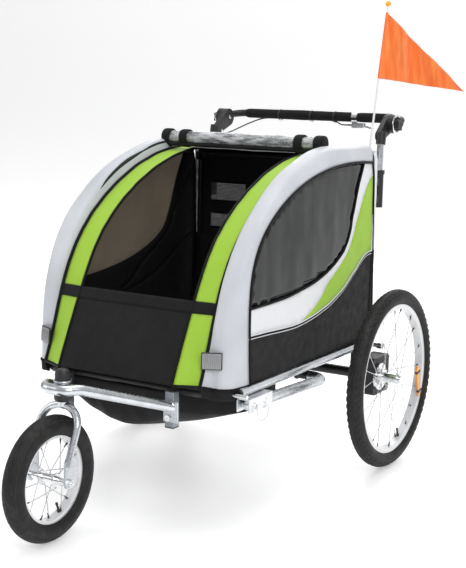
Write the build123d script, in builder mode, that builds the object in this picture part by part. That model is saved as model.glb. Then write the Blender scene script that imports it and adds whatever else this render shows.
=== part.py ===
from build123d import *
import os

# Two-child bicycle trailer with a stroller front wheel. Millimetres, +Z up, front towards -Y.
# The origin lies on the ground at the centre of the footprint. Sketches stand on planes whose own
# origin is on the ground below the rear axle, so lengths along Y are counted from that axle.

os.makedirs("parts", exist_ok=True)

AXLE_Y = 355.5          # rear axle, behind the footprint's centre
SIDES = {"left": 1, "right": -1}

# Wheels
TRACK = 410.0           # half the distance between the rear wheels
REAR_TYRE = 250.0       # outer radius of a 20 inch wheel
REAR_SECTION = 22.0     # radius of the tyre's own section
REAR_RIM = 212.5
FRONT_TYRE = 150.0      # outer radius of a 12 inch wheel
FRONT_SECTION = 25.0
FRONT_RIM = 112.5
FRONT_WHEEL_Y = -982.0
RIM_HALF_WIDTH = 13.0
CARCASS = 3.5           # thickness of a tyre
SPOKE = 1.0             # radius of a spoke
BEARING_GAP = 0.05      # radial running clearance

# Floor frame
RAIL_X = 300.0
RAIL_Z = 325.0
RAIL = 11.0             # tube radii from here on
TUBE = 9.5
WALL = 1.5
CROSS_Y = -628.0        # front cross tube
SEAT_TUBE_Y = -396.0
RAIL_REAR = 50.0
NOSE_X = 246.0
NOSE_Y = -696.0
AXLE_TUBE = 14.0
POST_X = 160.0
POST_Y = -718.0
POST = 24.0             # side of a square post

# Folding frame
FOLD_Y = 80.0           # hinge of the rear frame
FOLD_Z = 357.0
UPRIGHT_X = 282.0
UPRIGHT_TOP = 862.0
HOOP_X = 252.0
HOOP_PIVOT_Y = -669.0
HOOP_PIVOT_Z = 354.0
HOOP_LINE = [(-669, 343), (-652, 545), (-560, 697), (-404, 819), (-205, 881), (18, 877), (50, 832)]
HOOP_BENDS = [400, 400, 400, 400, 25]
PIN = 4.0

# Cover
PROFILE = [(-735, 345), (-650, 535), (-563, 695), (-405, 800), (-205, 870), (50, 866)]
PROFILE_BEND = 380
CLOTH = 2.5
STRIPE_IN = 172.0       # green stripe, from the middle of the trailer
STRIPE_OUT = 233.0
BAND_IN = 236.0
SIDE_X = 300.0          # outer face of the side panels

# Handle
STEM_Y = 150.0
STEM = 10.0
TILT_Y = 215.0
TILT_Z = 945.0
BAR_Y = 297.0
BAR_Z = 957.0
BAR_X = 290.0
BAR = 11.0
FOAM = 14.5
CLAMP_X = 130.0

# Head and fork
HEAD_Y = -933.0
HEAD_ARM_Z = 358.0
STEERER = 13.0
HEAD_TUBE = 17.0
ARM = 12.7
LEG_X = 55.0
LEG = 9.0

# Tow arm
TOW_X = 312.0
TOW = 14.0
TOW_PIVOT_Y = -615.0
TOW_PIVOT_Z = 294.0
TOW_BEND_Y = -208.0
TOW_LIMB_Z = 277.0

# Flag
FLAG_X = 268.0
POLE = 3.0
POLE_FOOT = Vector(FLAG_X, 72, 705)
POLE_TOP = Vector(FLAG_X, 195, 1280)
FLAG_TIP = Vector(425, 421, 1040)
HOIST_LOW = Vector(FLAG_X, 151, 1074)
HOIST_HIGH = Vector(FLAG_X, 190.5, 1259)
POLE_DIRECTION = (POLE_TOP - POLE_FOOT).normalized()

GROUND = Plane((0, AXLE_Y, 0))
SIDE = Plane((0, AXLE_Y, 0), x_dir=(0, 1, 0), z_dir=(1, 0, 0))
FRONT = Plane((0, AXLE_Y, 0), x_dir=(1, 0, 0), z_dir=(0, -1, 0))


def save(piece, name):
    """Label a finished piece and write it to its own file."""
    piece.part.label = name
    export_step(piece.part, f"parts/{name}.step")


def axis_along_x(y, z):
    """A line across the trailer, for wheels and hinges."""
    return Axis((0, AXLE_Y + y, z), (1, 0, 0))


def tube(points, bends, outer, wall):
    """A round tube along straight runs joined by arcs."""
    with BuildPart(mode=Mode.PRIVATE) as made:
        with BuildLine(GROUND) as route:
            FilletPolyline(*points, radius=bends)
        path = route.wires()[0]
        with BuildSketch(Plane(origin=path @ 0, z_dir=path % 0)):
            Circle(outer)
            if wall:
                Circle(outer - wall, mode=Mode.SUBTRACT)
        sweep(path=path)
    return made.part


def rod(start, end, radius, bore=0.0):
    """A straight round bar or tube between two points."""
    start = Vector(*start) + Vector(0, AXLE_Y, 0)
    end = Vector(*end) + Vector(0, AXLE_Y, 0)
    with BuildPart(mode=Mode.PRIVATE) as made:
        with BuildSketch(Plane(origin=start, z_dir=end - start)):
            Circle(radius)
            if bore:
                Circle(bore, mode=Mode.SUBTRACT)
        extrude(amount=(end - start).length)
    return made.part


def block(low, high):
    """A box between two corners."""
    size = [b - a for a, b in zip(low, high)]
    middle = [(a + b) / 2 for a, b in zip(low, high)]
    with BuildPart(mode=Mode.PRIVATE) as made:
        with Locations((middle[0], AXLE_Y + middle[1], middle[2])):
            Box(*size)
    return made.part


def strip(points, bends, gap, thickness, low_x, high_x):
    """A sheet that follows a side profile, a gap away from it on the outside."""
    with BuildPart(mode=Mode.PRIVATE) as made:
        with BuildSketch(SIDE.offset(low_x)):
            for amount, mode in ((gap + thickness, Mode.ADD), (gap, Mode.SUBTRACT)):
                if not amount:
                    continue
                with BuildLine():
                    line = FilletPolyline(*points, radius=bends) if bends else Polyline(*points)
                    offset(line, amount=amount, side=Side.LEFT)
                make_face(mode=mode)
        extrude(amount=high_x - low_x)
    return made.part


def wheel(suffix, centre_x, centre_y, tyre_r, section, rim_r, hub, spokes):
    """Write one wheel's tyre, rim, spokes and hub; hub is (inner end, outer end, flange x, flange r, bore)."""
    axis = axis_along_x(centre_y, tyre_r)
    across = FRONT.offset(-centre_y)
    inner_end, outer_end, flange_x, flange_r, bore = hub
    out = -1 if centre_x < 0 else 1
    rim_inner = rim_r - 16.5

    with BuildPart() as tyre:
        with BuildSketch(across):
            with Locations((centre_x, 2 * tyre_r - section)):
                Circle(section)
                Circle(section - CARCASS, mode=Mode.SUBTRACT)
            with Locations((centre_x, tyre_r + rim_r)):
                Rectangle(2 * section, 2 * section, align=(Align.CENTER, Align.MAX), mode=Mode.SUBTRACT)
        revolve(axis=axis)
    save(tyre, f"tyre_{suffix}")

    with BuildPart() as rim:
        with BuildSketch(across):
            with Locations((centre_x, tyre_r + rim_r)):
                Rectangle(2 * RIM_HALF_WIDTH, rim_r - rim_inner, align=(Align.CENTER, Align.MAX))
                Rectangle(2 * (RIM_HALF_WIDTH - WALL), 8, align=(Align.CENTER, Align.MAX), mode=Mode.SUBTRACT)
            with Locations((centre_x, tyre_r + rim_inner + 5)):
                Rectangle(2 * (RIM_HALF_WIDTH - WALL), 5, mode=Mode.SUBTRACT)
        revolve(axis=axis)
        fillet(rim.edges().filter_by(GeomType.CIRCLE).group_by(SortBy.RADIUS)[0], radius=WALL)
    save(rim, f"rim_{suffix}")

    with BuildPart() as spoke_set:
        for i in range(spokes):
            outward = 1 if i % 2 else -1
            crossing = 1 if i % 4 < 2 else -1
            face_x = flange_x + (2.2 if crossing > 0 else -4.5)
            turn = 360 / spokes
            foot = Vector(0, flange_r - 2, 0).rotate(Axis.X, turn * i + crossing * turn * 2.2)
            tip = Vector(0, rim_inner - 0.4, 0).rotate(Axis.X, turn * i)
            hub_end = Vector(centre_x + outward * face_x, centre_y, tyre_r) + foot
            rim_end = Vector(centre_x + outward * 3, centre_y, tyre_r) + tip
            add(rod(hub_end, rim_end, SPOKE))
    save(spoke_set, f"spokes_{suffix}")

    with BuildPart() as body:
        for start, end, radius in (
            (-out * inner_end, out * outer_end, flange_r - 8),
            (flange_x - 3, flange_x, flange_r),
            (-flange_x, 3 - flange_x, flange_r),
        ):
            add(rod((centre_x + start, centre_y, tyre_r), (centre_x + end, centre_y, tyre_r), radius))
        if centre_x:
            drum = (centre_x - out * (inner_end - 6), centre_x - out * inner_end)
            add(rod((drum[0], centre_y, tyre_r), (drum[1], centre_y, tyre_r), 38))
        cut = (centre_x - inner_end - 1, centre_x + inner_end + 1)
        add(rod((cut[0], centre_y, tyre_r), (cut[1], centre_y, tyre_r), bore), mode=Mode.SUBTRACT)
    save(body, f"hub_{suffix}")


# ---------------------------------------------------------------- rear wheels and their axle

AXLE_R = 6.0
REAR_HUB = (36.0, 27.5, 24.0, 22.0, AXLE_R + BEARING_GAP)
BRACKET_IN = 326.0
BRACKET_OUT = 372.0
BRACKET_LOW = 198.0
BRACKET_HIGH = 304.0
BRACKET_FRONT = -30.0
BRACKET_BACK = 70.0
PLATE = 4.0
RECEIVER = 12.0

for name, sign in SIDES.items():
    wheel(name, sign * TRACK, 0, REAR_TYRE, REAR_SECTION, REAR_RIM, REAR_HUB, 20)

    # A bar reflector, clipped on the spokes towards the rear
    with BuildPart() as reflector:
        with BuildSketch(SIDE.offset(sign * (TRACK + 12) - 3)):
            with Locations((170, 208)):
                SlotOverall(98, 17, rotation=-105)
        extrude(amount=6)
        fillet(reflector.faces().sort_by(Axis.X)[-1 if sign > 0 else 0].edges(), radius=1.5)
    save(reflector, f"reflector_{name}")

with BuildPart() as wheel_brackets:
    with BuildSketch(SIDE.offset(BRACKET_IN)):
        with Locations(((BRACKET_FRONT + BRACKET_BACK) / 2, (BRACKET_LOW + BRACKET_HIGH) / 2)):
            Rectangle(BRACKET_BACK - BRACKET_FRONT, BRACKET_HIGH - BRACKET_LOW)
    extrude(amount=BRACKET_OUT - BRACKET_IN)
    fillet(wheel_brackets.edges().filter_by(Axis.X), radius=8)
    with BuildSketch(SIDE.offset(BRACKET_IN + PLATE)):
        with Locations(((BRACKET_FRONT + BRACKET_BACK) / 2, BRACKET_LOW - PLATE)):
            Rectangle(
                BRACKET_BACK - BRACKET_FRONT - 2 * PLATE,
                BRACKET_HIGH - BRACKET_LOW,
                align=(Align.CENTER, Align.MIN),
            )
    extrude(amount=BRACKET_OUT - BRACKET_IN - 2 * PLATE, mode=Mode.SUBTRACT)
    add(rod((BRACKET_IN, 0, REAR_TYRE), (BRACKET_OUT, 0, REAR_TYRE), RECEIVER))
    add(rod((BRACKET_IN - 1, 0, REAR_TYRE), (BRACKET_OUT + 1, 0, REAR_TYRE), AXLE_R), mode=Mode.SUBTRACT)
    mirror(about=Plane.YZ)
save(wheel_brackets, "wheel_brackets")

with BuildPart() as rear_axles:
    cap_x = TRACK + REAR_HUB[1] + 0.3
    add(rod((BRACKET_IN, 0, REAR_TYRE), (cap_x + 1, 0, REAR_TYRE), AXLE_R))
    add(rod((cap_x, 0, REAR_TYRE), (cap_x + 4, 0, REAR_TYRE), 10))
    fillet(rear_axles.faces().sort_by(Axis.X)[-1].edges(), radius=2)
    mirror(about=Plane.YZ)
save(rear_axles, "rear_axles")

with BuildPart() as axle_tube:
    add(rod((-BRACKET_IN, 0, REAR_TYRE), (BRACKET_IN, 0, REAR_TYRE), AXLE_TUBE, AXLE_TUBE - 2))
    with BuildSketch(Plane((0, AXLE_Y, RAIL_Z - RAIL))):
        with Locations((RAIL_X, 0), (-RAIL_X, 0)):
            Rectangle(20, 24)
    extrude(amount=-(RAIL_Z - RAIL - REAR_TYRE - AXLE_TUBE + 3))
save(axle_tube, "rear_axle_tube")

# ---------------------------------------------------------------- floor frame

with BuildPart() as floor_tubes:
    for sign in (1, -1):
        add(rod((sign * RAIL_X, -640, RAIL_Z), (sign * RAIL_X, RAIL_REAR, RAIL_Z), RAIL, RAIL - WALL))
    inner = RAIL_X - RAIL
    for y in (CROSS_Y, SEAT_TUBE_Y):
        add(rod((-inner, y, RAIL_Z), (inner, y, RAIL_Z), RAIL, RAIL - WALL))
save(floor_tubes, "floor_tubes")

# The nose tube carries the front of the cover and the two square posts for the front arm
with BuildPart() as nose_tube:
    start_y = CROSS_Y - RAIL
    add(
        tube(
            [(NOSE_X, start_y, RAIL_Z), (NOSE_X, NOSE_Y, RAIL_Z), (-NOSE_X, NOSE_Y, RAIL_Z), (-NOSE_X, start_y, RAIL_Z)],
            40,
            TUBE,
            WALL,
        )
    )
save(nose_tube, "nose_tube")

with BuildPart() as arm_posts:
    with BuildSketch(Plane((0, AXLE_Y + POST_Y, 240))):
        with Locations((POST_X, 0), (-POST_X, 0)):
            Rectangle(POST, POST)
            Rectangle(POST - 6, POST - 6, mode=Mode.SUBTRACT)
    extrude(amount=87)
    fillet(arm_posts.edges().filter_by(Axis.Z).group_by(SortBy.DISTANCE)[-1], radius=1.5)
    for sign in (1, -1):
        hole = [(sign * POST_X, POST_Y - POST, 264), (sign * POST_X, POST_Y + POST, 264)]
        add(rod(*hole, PIN), mode=Mode.SUBTRACT)
save(arm_posts, "arm_posts")

# ---------------------------------------------------------------- front arm, head and fork

ARM_END = (170, -726, 290)
ARM_KNEE = (48, -932, HEAD_ARM_Z)
ARM_TIP = (28, -963, HEAD_ARM_Z)
ARM_PLATE_Y = POST_Y - POST / 2 - 0.3
ARM_BOLT_Z = 264.0

with BuildPart() as jogger_arm:
    half = [ARM_END, ARM_KNEE, ARM_TIP]
    other = [(-x, y, z) for x, y, z in reversed(half)]
    add(tube(half + other, [60, 28, 28, 60], ARM, WALL))
    for sign in (1, -1):
        low, high = sorted((sign * 146, sign * 186))
        add(block((low, ARM_PLATE_Y - 4, 254), (high, ARM_PLATE_Y, 306)))
    add(block((-220, ARM_PLATE_Y, 240), (220, -690, 340)), mode=Mode.SUBTRACT)
    for sign in (1, -1):
        bolt = [(sign * POST_X, ARM_PLATE_Y - 5, ARM_BOLT_Z), (sign * POST_X, ARM_PLATE_Y + 1, ARM_BOLT_Z)]
        add(rod(*bolt, PIN), mode=Mode.SUBTRACT)
save(jogger_arm, "jogger_arm")

# The head tube, with its lower bearing cup as a solid of its own
with BuildPart() as head_tube:
    add(rod((0, HEAD_Y, 341), (0, HEAD_Y, 375), HEAD_TUBE))
    for low in (341, 371):
        add(rod((0, HEAD_Y, low), (0, HEAD_Y, low + 4), 22))
    with BuildSketch(Plane((0, AXLE_Y, HEAD_ARM_Z - 2))):
        Polygon((21, -945), (31, -931), (46, -906), (-46, -906), (-31, -931), (-21, -945), align=None)
    extrude(amount=4)
    with BuildSketch(FRONT.offset(-HEAD_Y)):
        Polygon((13.05, 324.4), (16, 324.4), (20, 330), (20, 340.9), (13.05, 340.9), align=None)
    revolve(axis=Axis((0, AXLE_Y + HEAD_Y, 0), (0, 0, 1)))
    add(rod((0, HEAD_Y, 324), (0, HEAD_Y, 376), STEERER + BEARING_GAP), mode=Mode.SUBTRACT)
save(head_tube, "head_tube")

with BuildPart() as head_cap:
    add(rod((0, HEAD_Y, 375.3), (0, HEAD_Y, 402), 18.5))
    fillet(head_cap.faces().sort_by(Axis.Z)[-1].edges(), radius=14)
    add(rod((0, HEAD_Y, 375), (0, HEAD_Y, 379.3), STEERER), mode=Mode.SUBTRACT)
save(head_cap, "head_cap")

with BuildPart() as fork:
    foot_y = FRONT_WHEEL_Y - 3
    rear_y = FRONT_WHEEL_Y + 17
    legs = [(LEG_X, foot_y, 188), (LEG_X, HEAD_Y, 315), (-LEG_X, HEAD_Y, 315), (-LEG_X, foot_y, 188)]
    add(tube(legs, 50, LEG, 0))
    add(rod((0, HEAD_Y, 315), (0, HEAD_Y, 379), STEERER))
    with BuildSketch(SIDE.offset(LEG_X - 2.5)):
        with Locations((FRONT_WHEEL_Y, FRONT_TYRE)):
            Circle(14)
        with Locations((foot_y, 198), (rear_y, 197), (rear_y, 148)):
            Circle(9)
        make_hull()
    extrude(amount=5)
    mirror(about=Plane.YZ)
    ends = [(-70, FRONT_WHEEL_Y, FRONT_TYRE), (70, FRONT_WHEEL_Y, FRONT_TYRE)]
    add(rod(*ends, 5 + BEARING_GAP), mode=Mode.SUBTRACT)
save(fork, "fork")

with BuildPart() as front_axle:
    add(rod((-70, FRONT_WHEEL_Y, FRONT_TYRE), (70, FRONT_WHEEL_Y, FRONT_TYRE), 5))
    for sign in (1, -1):
        add(rod((sign * 30.3, FRONT_WHEEL_Y, FRONT_TYRE), (sign * 52.5, FRONT_WHEEL_Y, FRONT_TYRE), 8))
        with BuildSketch(SIDE.offset(sign * 57.5)):
            with Locations((FRONT_WHEEL_Y, FRONT_TYRE)):
                RegularPolygon(9.5, 6)
        extrude(amount=sign * 8)
save(front_axle, "front_axle")

FRONT_HUB = (30.0, 30.0, 23.0, 18.0, 5 + BEARING_GAP)
wheel("front", 0, FRONT_WHEEL_Y, FRONT_TYRE, FRONT_SECTION, FRONT_RIM, FRONT_HUB, 16)

# ---------------------------------------------------------------- tow arm

BRACKET_TOP = RAIL_Z - RAIL
TOW_PLATE = 3.0
TOW_GAP = 1.0
TOW_LOCK_Y = -560.0

with BuildPart() as tow_bracket:
    inside = TOW_X - TOW - TOW_GAP
    outside = TOW_X + TOW + TOW_GAP
    add(block((inside - TOW_PLATE, -640, BRACKET_TOP - 3), (outside + TOW_PLATE, -530, BRACKET_TOP)))
    for low in (inside - TOW_PLATE, outside):
        add(block((low, -640, 279), (low + TOW_PLATE, -530, BRACKET_TOP)))
    for y in (TOW_PIVOT_Y, TOW_LOCK_Y):
        across = [(inside - 5, y, TOW_PIVOT_Z), (outside + 5, y, TOW_PIVOT_Z)]
        add(rod(*across, PIN), mode=Mode.SUBTRACT)
save(tow_bracket, "tow_bracket")

with BuildPart() as keeper_ring:
    ring_x = outside + 9.5
    with BuildLine(SIDE.offset(ring_x)) as ring_line:
        CenterArc((-585, 281), 28, 0, -215)
    ring = ring_line.edges()[0]
    with BuildSketch(Plane(origin=ring @ 0, z_dir=ring % 0)):
        Circle(1.8)
    sweep(path=ring)
save(keeper_ring, "keeper_ring")

FLEX_START = 262.0
FLEX_END = 222.0
TONGUE_END = 180.0
HITCH_X = 194.0
HITCH_R = 5.0

with BuildPart() as tow_tube:
    corner = (TOW_X, TOW_BEND_Y, TOW_LIMB_Z)
    run = [(TOW_X, TOW_PIVOT_Y, TOW_PIVOT_Z), corner, (FLEX_START, TOW_BEND_Y, TOW_LIMB_Z)]
    add(tube(run, 42, TOW, 2))
    with Locations((TOW_X, AXLE_Y + TOW_PIVOT_Y, TOW_PIVOT_Z)):
        Sphere(TOW)
    across = [(inside, TOW_PIVOT_Y, TOW_PIVOT_Z), (outside, TOW_PIVOT_Y, TOW_PIVOT_Z)]
    add(rod(*across, PIN + BEARING_GAP), mode=Mode.SUBTRACT)
save(tow_tube, "tow_tube")

with BuildPart() as tow_flex:
    for start, end, radius in (
        (FLEX_START, FLEX_START - 6, 14),
        (FLEX_START - 6, FLEX_END + 6, 11.5),
        (FLEX_END + 6, FLEX_END, 14),
    ):
        add(rod((start, TOW_BEND_Y, TOW_LIMB_Z), (end, TOW_BEND_Y, TOW_LIMB_Z), radius))
save(tow_flex, "tow_flex")

with BuildPart() as hitch_tongue:
    with BuildSketch(Plane((0, AXLE_Y + TOW_BEND_Y, TOW_LIMB_Z - 3))):
        with Locations(((FLEX_END + TONGUE_END) / 2, 0)):
            RectangleRounded(FLEX_END - TONGUE_END, 26, 4)
        with Locations((HITCH_X, 0)):
            Circle(HITCH_R, mode=Mode.SUBTRACT)
    extrude(amount=6)
save(hitch_tongue, "hitch_tongue")

# ---------------------------------------------------------------- folding rear frame

INNER_PLATE = 268.0
OUTER_PLATE = 292.2
FOLD_PLATE = 3.8
KNOB_Z = 318.0
HOOP_PLATES = (HOOP_X - TUBE - 4, HOOP_X + TUBE + 1)

# A forked bracket for each upright at the back, and one for each hoop at the front
with BuildPart() as fold_brackets:
    add(block((INNER_PLATE, RAIL_REAR, 300), (RAIL_X + RAIL, RAIL_REAR + 8, 338)))
    for low in (INNER_PLATE, OUTER_PLATE):
        add(block((low, RAIL_REAR, 300), (low + FOLD_PLATE, 102, 372)))
    fillet(fold_brackets.edges().filter_by(Axis.X).group_by(Axis.Z)[-1], radius=10)
    add(rod((OUTER_PLATE, FOLD_Y, KNOB_Z), (314.5, FOLD_Y, KNOB_Z), 7))
    for z, radius in ((FOLD_Z, PIN), (KNOB_Z, 3 + BEARING_GAP)):
        add(rod((INNER_PLATE - 1, FOLD_Y, z), (316, FOLD_Y, z), radius), mode=Mode.SUBTRACT)
    base_z = RAIL_Z + TUBE
    front = HOOP_PIVOT_Y - 7.5
    back = HOOP_PIVOT_Y + 15
    add(block((HOOP_PLATES[0], front, base_z), (HOOP_PLATES[1] + 3, back, base_z + 3)))
    for low in HOOP_PLATES:
        add(block((low, front, base_z), (low + 3, back, HOOP_PIVOT_Z + 10)))
    add(rod((230, HOOP_PIVOT_Y, HOOP_PIVOT_Z), (275, HOOP_PIVOT_Y, HOOP_PIVOT_Z), PIN), mode=Mode.SUBTRACT)
    mirror(about=Plane.YZ)
save(fold_brackets, "fold_brackets")

# Every pin and bolt of the frame: fold and hoop pins, arm bolts, the tow arm's pivot and lock pins,
# and the spare hitch pin in front of the tow bracket
with BuildPart() as frame_pins:
    add(rod((INNER_PLATE - 2, FOLD_Y, FOLD_Z), (OUTER_PLATE + FOLD_PLATE, FOLD_Y, FOLD_Z), PIN))
    add(rod((INNER_PLATE - 3, FOLD_Y, FOLD_Z), (INNER_PLATE, FOLD_Y, FOLD_Z), 6))
    add(rod((HOOP_PLATES[0] - 3, HOOP_PIVOT_Y, HOOP_PIVOT_Z), (HOOP_PLATES[1] + 5, HOOP_PIVOT_Y, HOOP_PIVOT_Z), PIN))
    add(rod((HOOP_PLATES[0] - 3, HOOP_PIVOT_Y, HOOP_PIVOT_Z), (HOOP_PLATES[0], HOOP_PIVOT_Y, HOOP_PIVOT_Z), 6))
    bolt_head = ARM_PLATE_Y - 9
    add(rod((POST_X, bolt_head, ARM_BOLT_Z), (POST_X, POST_Y + POST / 2 + 1, ARM_BOLT_Z), PIN))
    add(rod((POST_X, bolt_head, ARM_BOLT_Z), (POST_X, ARM_PLATE_Y - 4, ARM_BOLT_Z), 7.5))
    mirror(about=Plane.YZ)
    add(rod((inside - 6, TOW_PIVOT_Y, TOW_PIVOT_Z), (outside + 6, TOW_PIVOT_Y, TOW_PIVOT_Z), PIN))
    add(rod((outside + 3, TOW_PIVOT_Y, TOW_PIVOT_Z), (outside + 7, TOW_PIVOT_Y, TOW_PIVOT_Z), 7))
    add(rod((outside + 0.3, TOW_LOCK_Y, TOW_PIVOT_Z), (outside + 7, TOW_LOCK_Y, TOW_PIVOT_Z), PIN))
    add(rod((outside + 3, TOW_LOCK_Y, TOW_PIVOT_Z), (outside + 7, TOW_LOCK_Y, TOW_PIVOT_Z), 6.5))
    add(rod((258, -653, 323), (331, -653, 323), 5))
save(frame_pins, "frame_pins")

for name, sign in SIDES.items():
    with BuildPart() as lock_knob:
        add(rod((sign * 292.5, FOLD_Y, KNOB_Z), (sign * 340, FOLD_Y, KNOB_Z), 3))
        add(rod((sign * 315, FOLD_Y, KNOB_Z), (sign * 331, FOLD_Y, KNOB_Z), 8))
        add(rod((sign * 331, FOLD_Y, KNOB_Z), (sign * 346, FOLD_Y, KNOB_Z), 10))
        fillet(lock_knob.edges().group_by(Axis.X)[-1 if sign > 0 else 0], radius=2)
    save(lock_knob, f"lock_knob_{name}")

with BuildPart() as rear_frame:
    add(rod((UPRIGHT_X, FOLD_Y, 304), (UPRIGHT_X, FOLD_Y, UPRIGHT_TOP), TUBE))
    add(block((265, 38, 822), (274, 84, 846)))
    add(rod((0, FOLD_Y, 560), (UPRIGHT_X - TUBE + 2, FOLD_Y, 560), TUBE))
    add(rod((UPRIGHT_X, FOLD_Y, 303), (UPRIGHT_X, FOLD_Y, UPRIGHT_TOP + 1), TUBE - WALL), mode=Mode.SUBTRACT)
    across = [(INNER_PLATE, FOLD_Y, FOLD_Z), (OUTER_PLATE, FOLD_Y, FOLD_Z)]
    add(rod(*across, PIN + BEARING_GAP), mode=Mode.SUBTRACT)
    mirror(about=Plane.YZ)
    add(rod((-255, FOLD_Y, 560), (255, FOLD_Y, 560), TUBE - WALL), mode=Mode.SUBTRACT)
save(rear_frame, "rear_frame_tubes")

with BuildPart() as hoops:
    add(tube([(HOOP_X, y, z) for y, z in HOOP_LINE], HOOP_BENDS, TUBE, WALL))
    mirror(about=Plane.YZ)
    bar_end = HOOP_X - TUBE + 3
    add(rod((-bar_end, 42, 843), (bar_end, 42, 843), TUBE - 0.5, TUBE - 2))
    across = [(-275, HOOP_PIVOT_Y, HOOP_PIVOT_Z), (275, HOOP_PIVOT_Y, HOOP_PIVOT_Z)]
    add(rod(*across, PIN + BEARING_GAP), mode=Mode.SUBTRACT)
save(hoops, "hoops")

# ---------------------------------------------------------------- handle

RECEIVER_LOW = 708.0
RECEIVER_HIGH = 815.0

# A socket for each handle stem on the back of the uprights, and the flag pole's sleeve
with BuildPart() as handle_receivers:
    add(rod((UPRIGHT_X, STEM_Y, RECEIVER_LOW), (UPRIGHT_X, STEM_Y, RECEIVER_HIGH), 12.5))
    add(rod((UPRIGHT_X, STEM_Y, RECEIVER_HIGH - 12), (UPRIGHT_X, STEM_Y, RECEIVER_HIGH), 15))
    for z in (722, 772):
        add(block((UPRIGHT_X - 6, FOLD_Y + TUBE, z), (UPRIGHT_X + 6, STEM_Y - 8, z + 20)))
    bore = [(UPRIGHT_X, STEM_Y, RECEIVER_LOW + 8), (UPRIGHT_X, STEM_Y, RECEIVER_HIGH + 1)]
    add(rod(*bore, STEM + BEARING_GAP), mode=Mode.SUBTRACT)
    mirror(about=Plane.YZ)
    foot = POLE_FOOT - POLE_DIRECTION * 5
    add(rod(foot, foot + POLE_DIRECTION * 102, POLE + 1.3))
    add(rod(POLE_FOOT, foot + POLE_DIRECTION * 103, POLE + BEARING_GAP), mode=Mode.SUBTRACT)
save(handle_receivers, "handle_receivers")

with BuildPart() as handle_stems:
    for sign in (1, -1):
        add(rod((sign * UPRIGHT_X, STEM_Y, 718), (sign * UPRIGHT_X, STEM_Y, 899.5), STEM, STEM - WALL))
save(handle_stems, "handle_stems")

ELBOW_IN = 266.0
ELBOW_OUT = 281.0
TILT_DISC = 27.0
GLAND_Y = 176.0         # where the brake cable enters the right elbow
GLAND_Z = 896.0

with BuildPart() as elbows:
    with BuildSketch(SIDE.offset(ELBOW_IN)):
        with Locations((158, 912)):
            Circle(16)
        with Locations((TILT_Y, TILT_Z)):
            Circle(TILT_DISC)
        make_hull()
    extrude(amount=ELBOW_OUT - ELBOW_IN)
    fillet(elbows.faces().sort_by(Axis.X)[0].edges(), radius=3)
    add(rod((UPRIGHT_X, STEM_Y, 888), (UPRIGHT_X, STEM_Y + 6, 922), 14))
    add(rod((UPRIGHT_X, STEM_Y, 880), (UPRIGHT_X, STEM_Y, 900), STEM + BEARING_GAP), mode=Mode.SUBTRACT)
    mirror(about=Plane.YZ)
    add(rod((-272, STEM_Y + 10, GLAND_Z), (-272, GLAND_Y, GLAND_Z), 4))
save(elbows, "elbows")

with BuildPart() as handlebar:
    for low in (ELBOW_OUT + 0.3, -300):
        with BuildSketch(SIDE.offset(low)):
            with Locations((TILT_Y, TILT_Z)):
                Circle(TILT_DISC)
            with Locations((252, 950.4)):
                Circle(BAR)
            make_hull()
        extrude(amount=300 - ELBOW_OUT - 0.3)
    start = (BAR_X, 246, 949.5)
    far = (-BAR_X, 246, 949.5)
    add(tube([start, (BAR_X, BAR_Y, BAR_Z), (-BAR_X, BAR_Y, BAR_Z), far], 36, BAR, WALL))
save(handlebar, "handlebar_tube")

with BuildPart() as tilt_knobs:
    for sign in (1, -1):
        add(rod((sign * 300, TILT_Y, TILT_Z), (sign * 303, TILT_Y, TILT_Z), 22))
        with BuildSketch(SIDE.offset(sign * 303)):
            with Locations((TILT_Y, TILT_Z)):
                Circle(14)
                with PolarLocations(14, 5):
                    Circle(5)
        extrude(amount=sign * 11)
save(tilt_knobs, "tilt_knobs")

with BuildPart() as foam_grip:
    for low, high in ((-250, CLAMP_X - 10), (CLAMP_X + 10, 250)):
        add(rod((low, BAR_Y, BAR_Z), (high, BAR_Y, BAR_Z), FOAM, BAR))
save(foam_grip, "foam_grip")

LEVER_X = 152.0
LEVER_Z = 933.0
CABLE_START = 100.0

with BuildPart() as brake_clamp:
    add(rod((CLAMP_X - 9, BAR_Y, BAR_Z), (CLAMP_X + 9, BAR_Y, BAR_Z), FOAM + 1))
    add(block((CLAMP_X - 9, BAR_Y - 9, 925), (CLAMP_X + 9, BAR_Y + 9, 945)))
    for low in (BAR_Y - 9, BAR_Y + 6):
        add(block((CLAMP_X + 9, low, 926), (LEVER_X + 8, low + 3, 940)))
    add(rod((LEVER_X, BAR_Y - 10, LEVER_Z), (LEVER_X, BAR_Y + 10, LEVER_Z), 2))
    add(rod((CABLE_START, BAR_Y, LEVER_Z), (CLAMP_X, BAR_Y, LEVER_Z), 4))
    add(rod((CLAMP_X - 10, BAR_Y, BAR_Z), (CLAMP_X + 10, BAR_Y, BAR_Z), BAR), mode=Mode.SUBTRACT)
save(brake_clamp, "brake_clamp")

with BuildPart() as brake_lever:
    add(rod((LEVER_X, BAR_Y - 5, LEVER_Z), (LEVER_X, BAR_Y + 5, LEVER_Z), 6))
    add(rod((LEVER_X, BAR_Y, LEVER_Z), (186, BAR_Y, 925), 3.5))
    with Locations((186, AXLE_Y + BAR_Y, 925)):
        Sphere(5.5)
    ends = [(LEVER_X, BAR_Y - 7, LEVER_Z), (LEVER_X, BAR_Y + 7, LEVER_Z)]
    add(rod(*ends, 2 + BEARING_GAP), mode=Mode.SUBTRACT)
save(brake_lever, "brake_lever")

with BuildPart() as brake_cable:
    stops = [
        (CABLE_START, BAR_Y, LEVER_Z),
        (80, BAR_Y, LEVER_Z),
        (50, BAR_Y + 12, 944),
        (-208, BAR_Y + 12, 944),
        (-256, 264, 914),
        (-272, 216, GLAND_Z),
        (-272, GLAND_Y, GLAND_Z),
    ]
    add(tube(stops, [60, 60, 45, 55, 60], 2, 0))
save(brake_cable, "brake_cable")

# ---------------------------------------------------------------- flag


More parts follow.
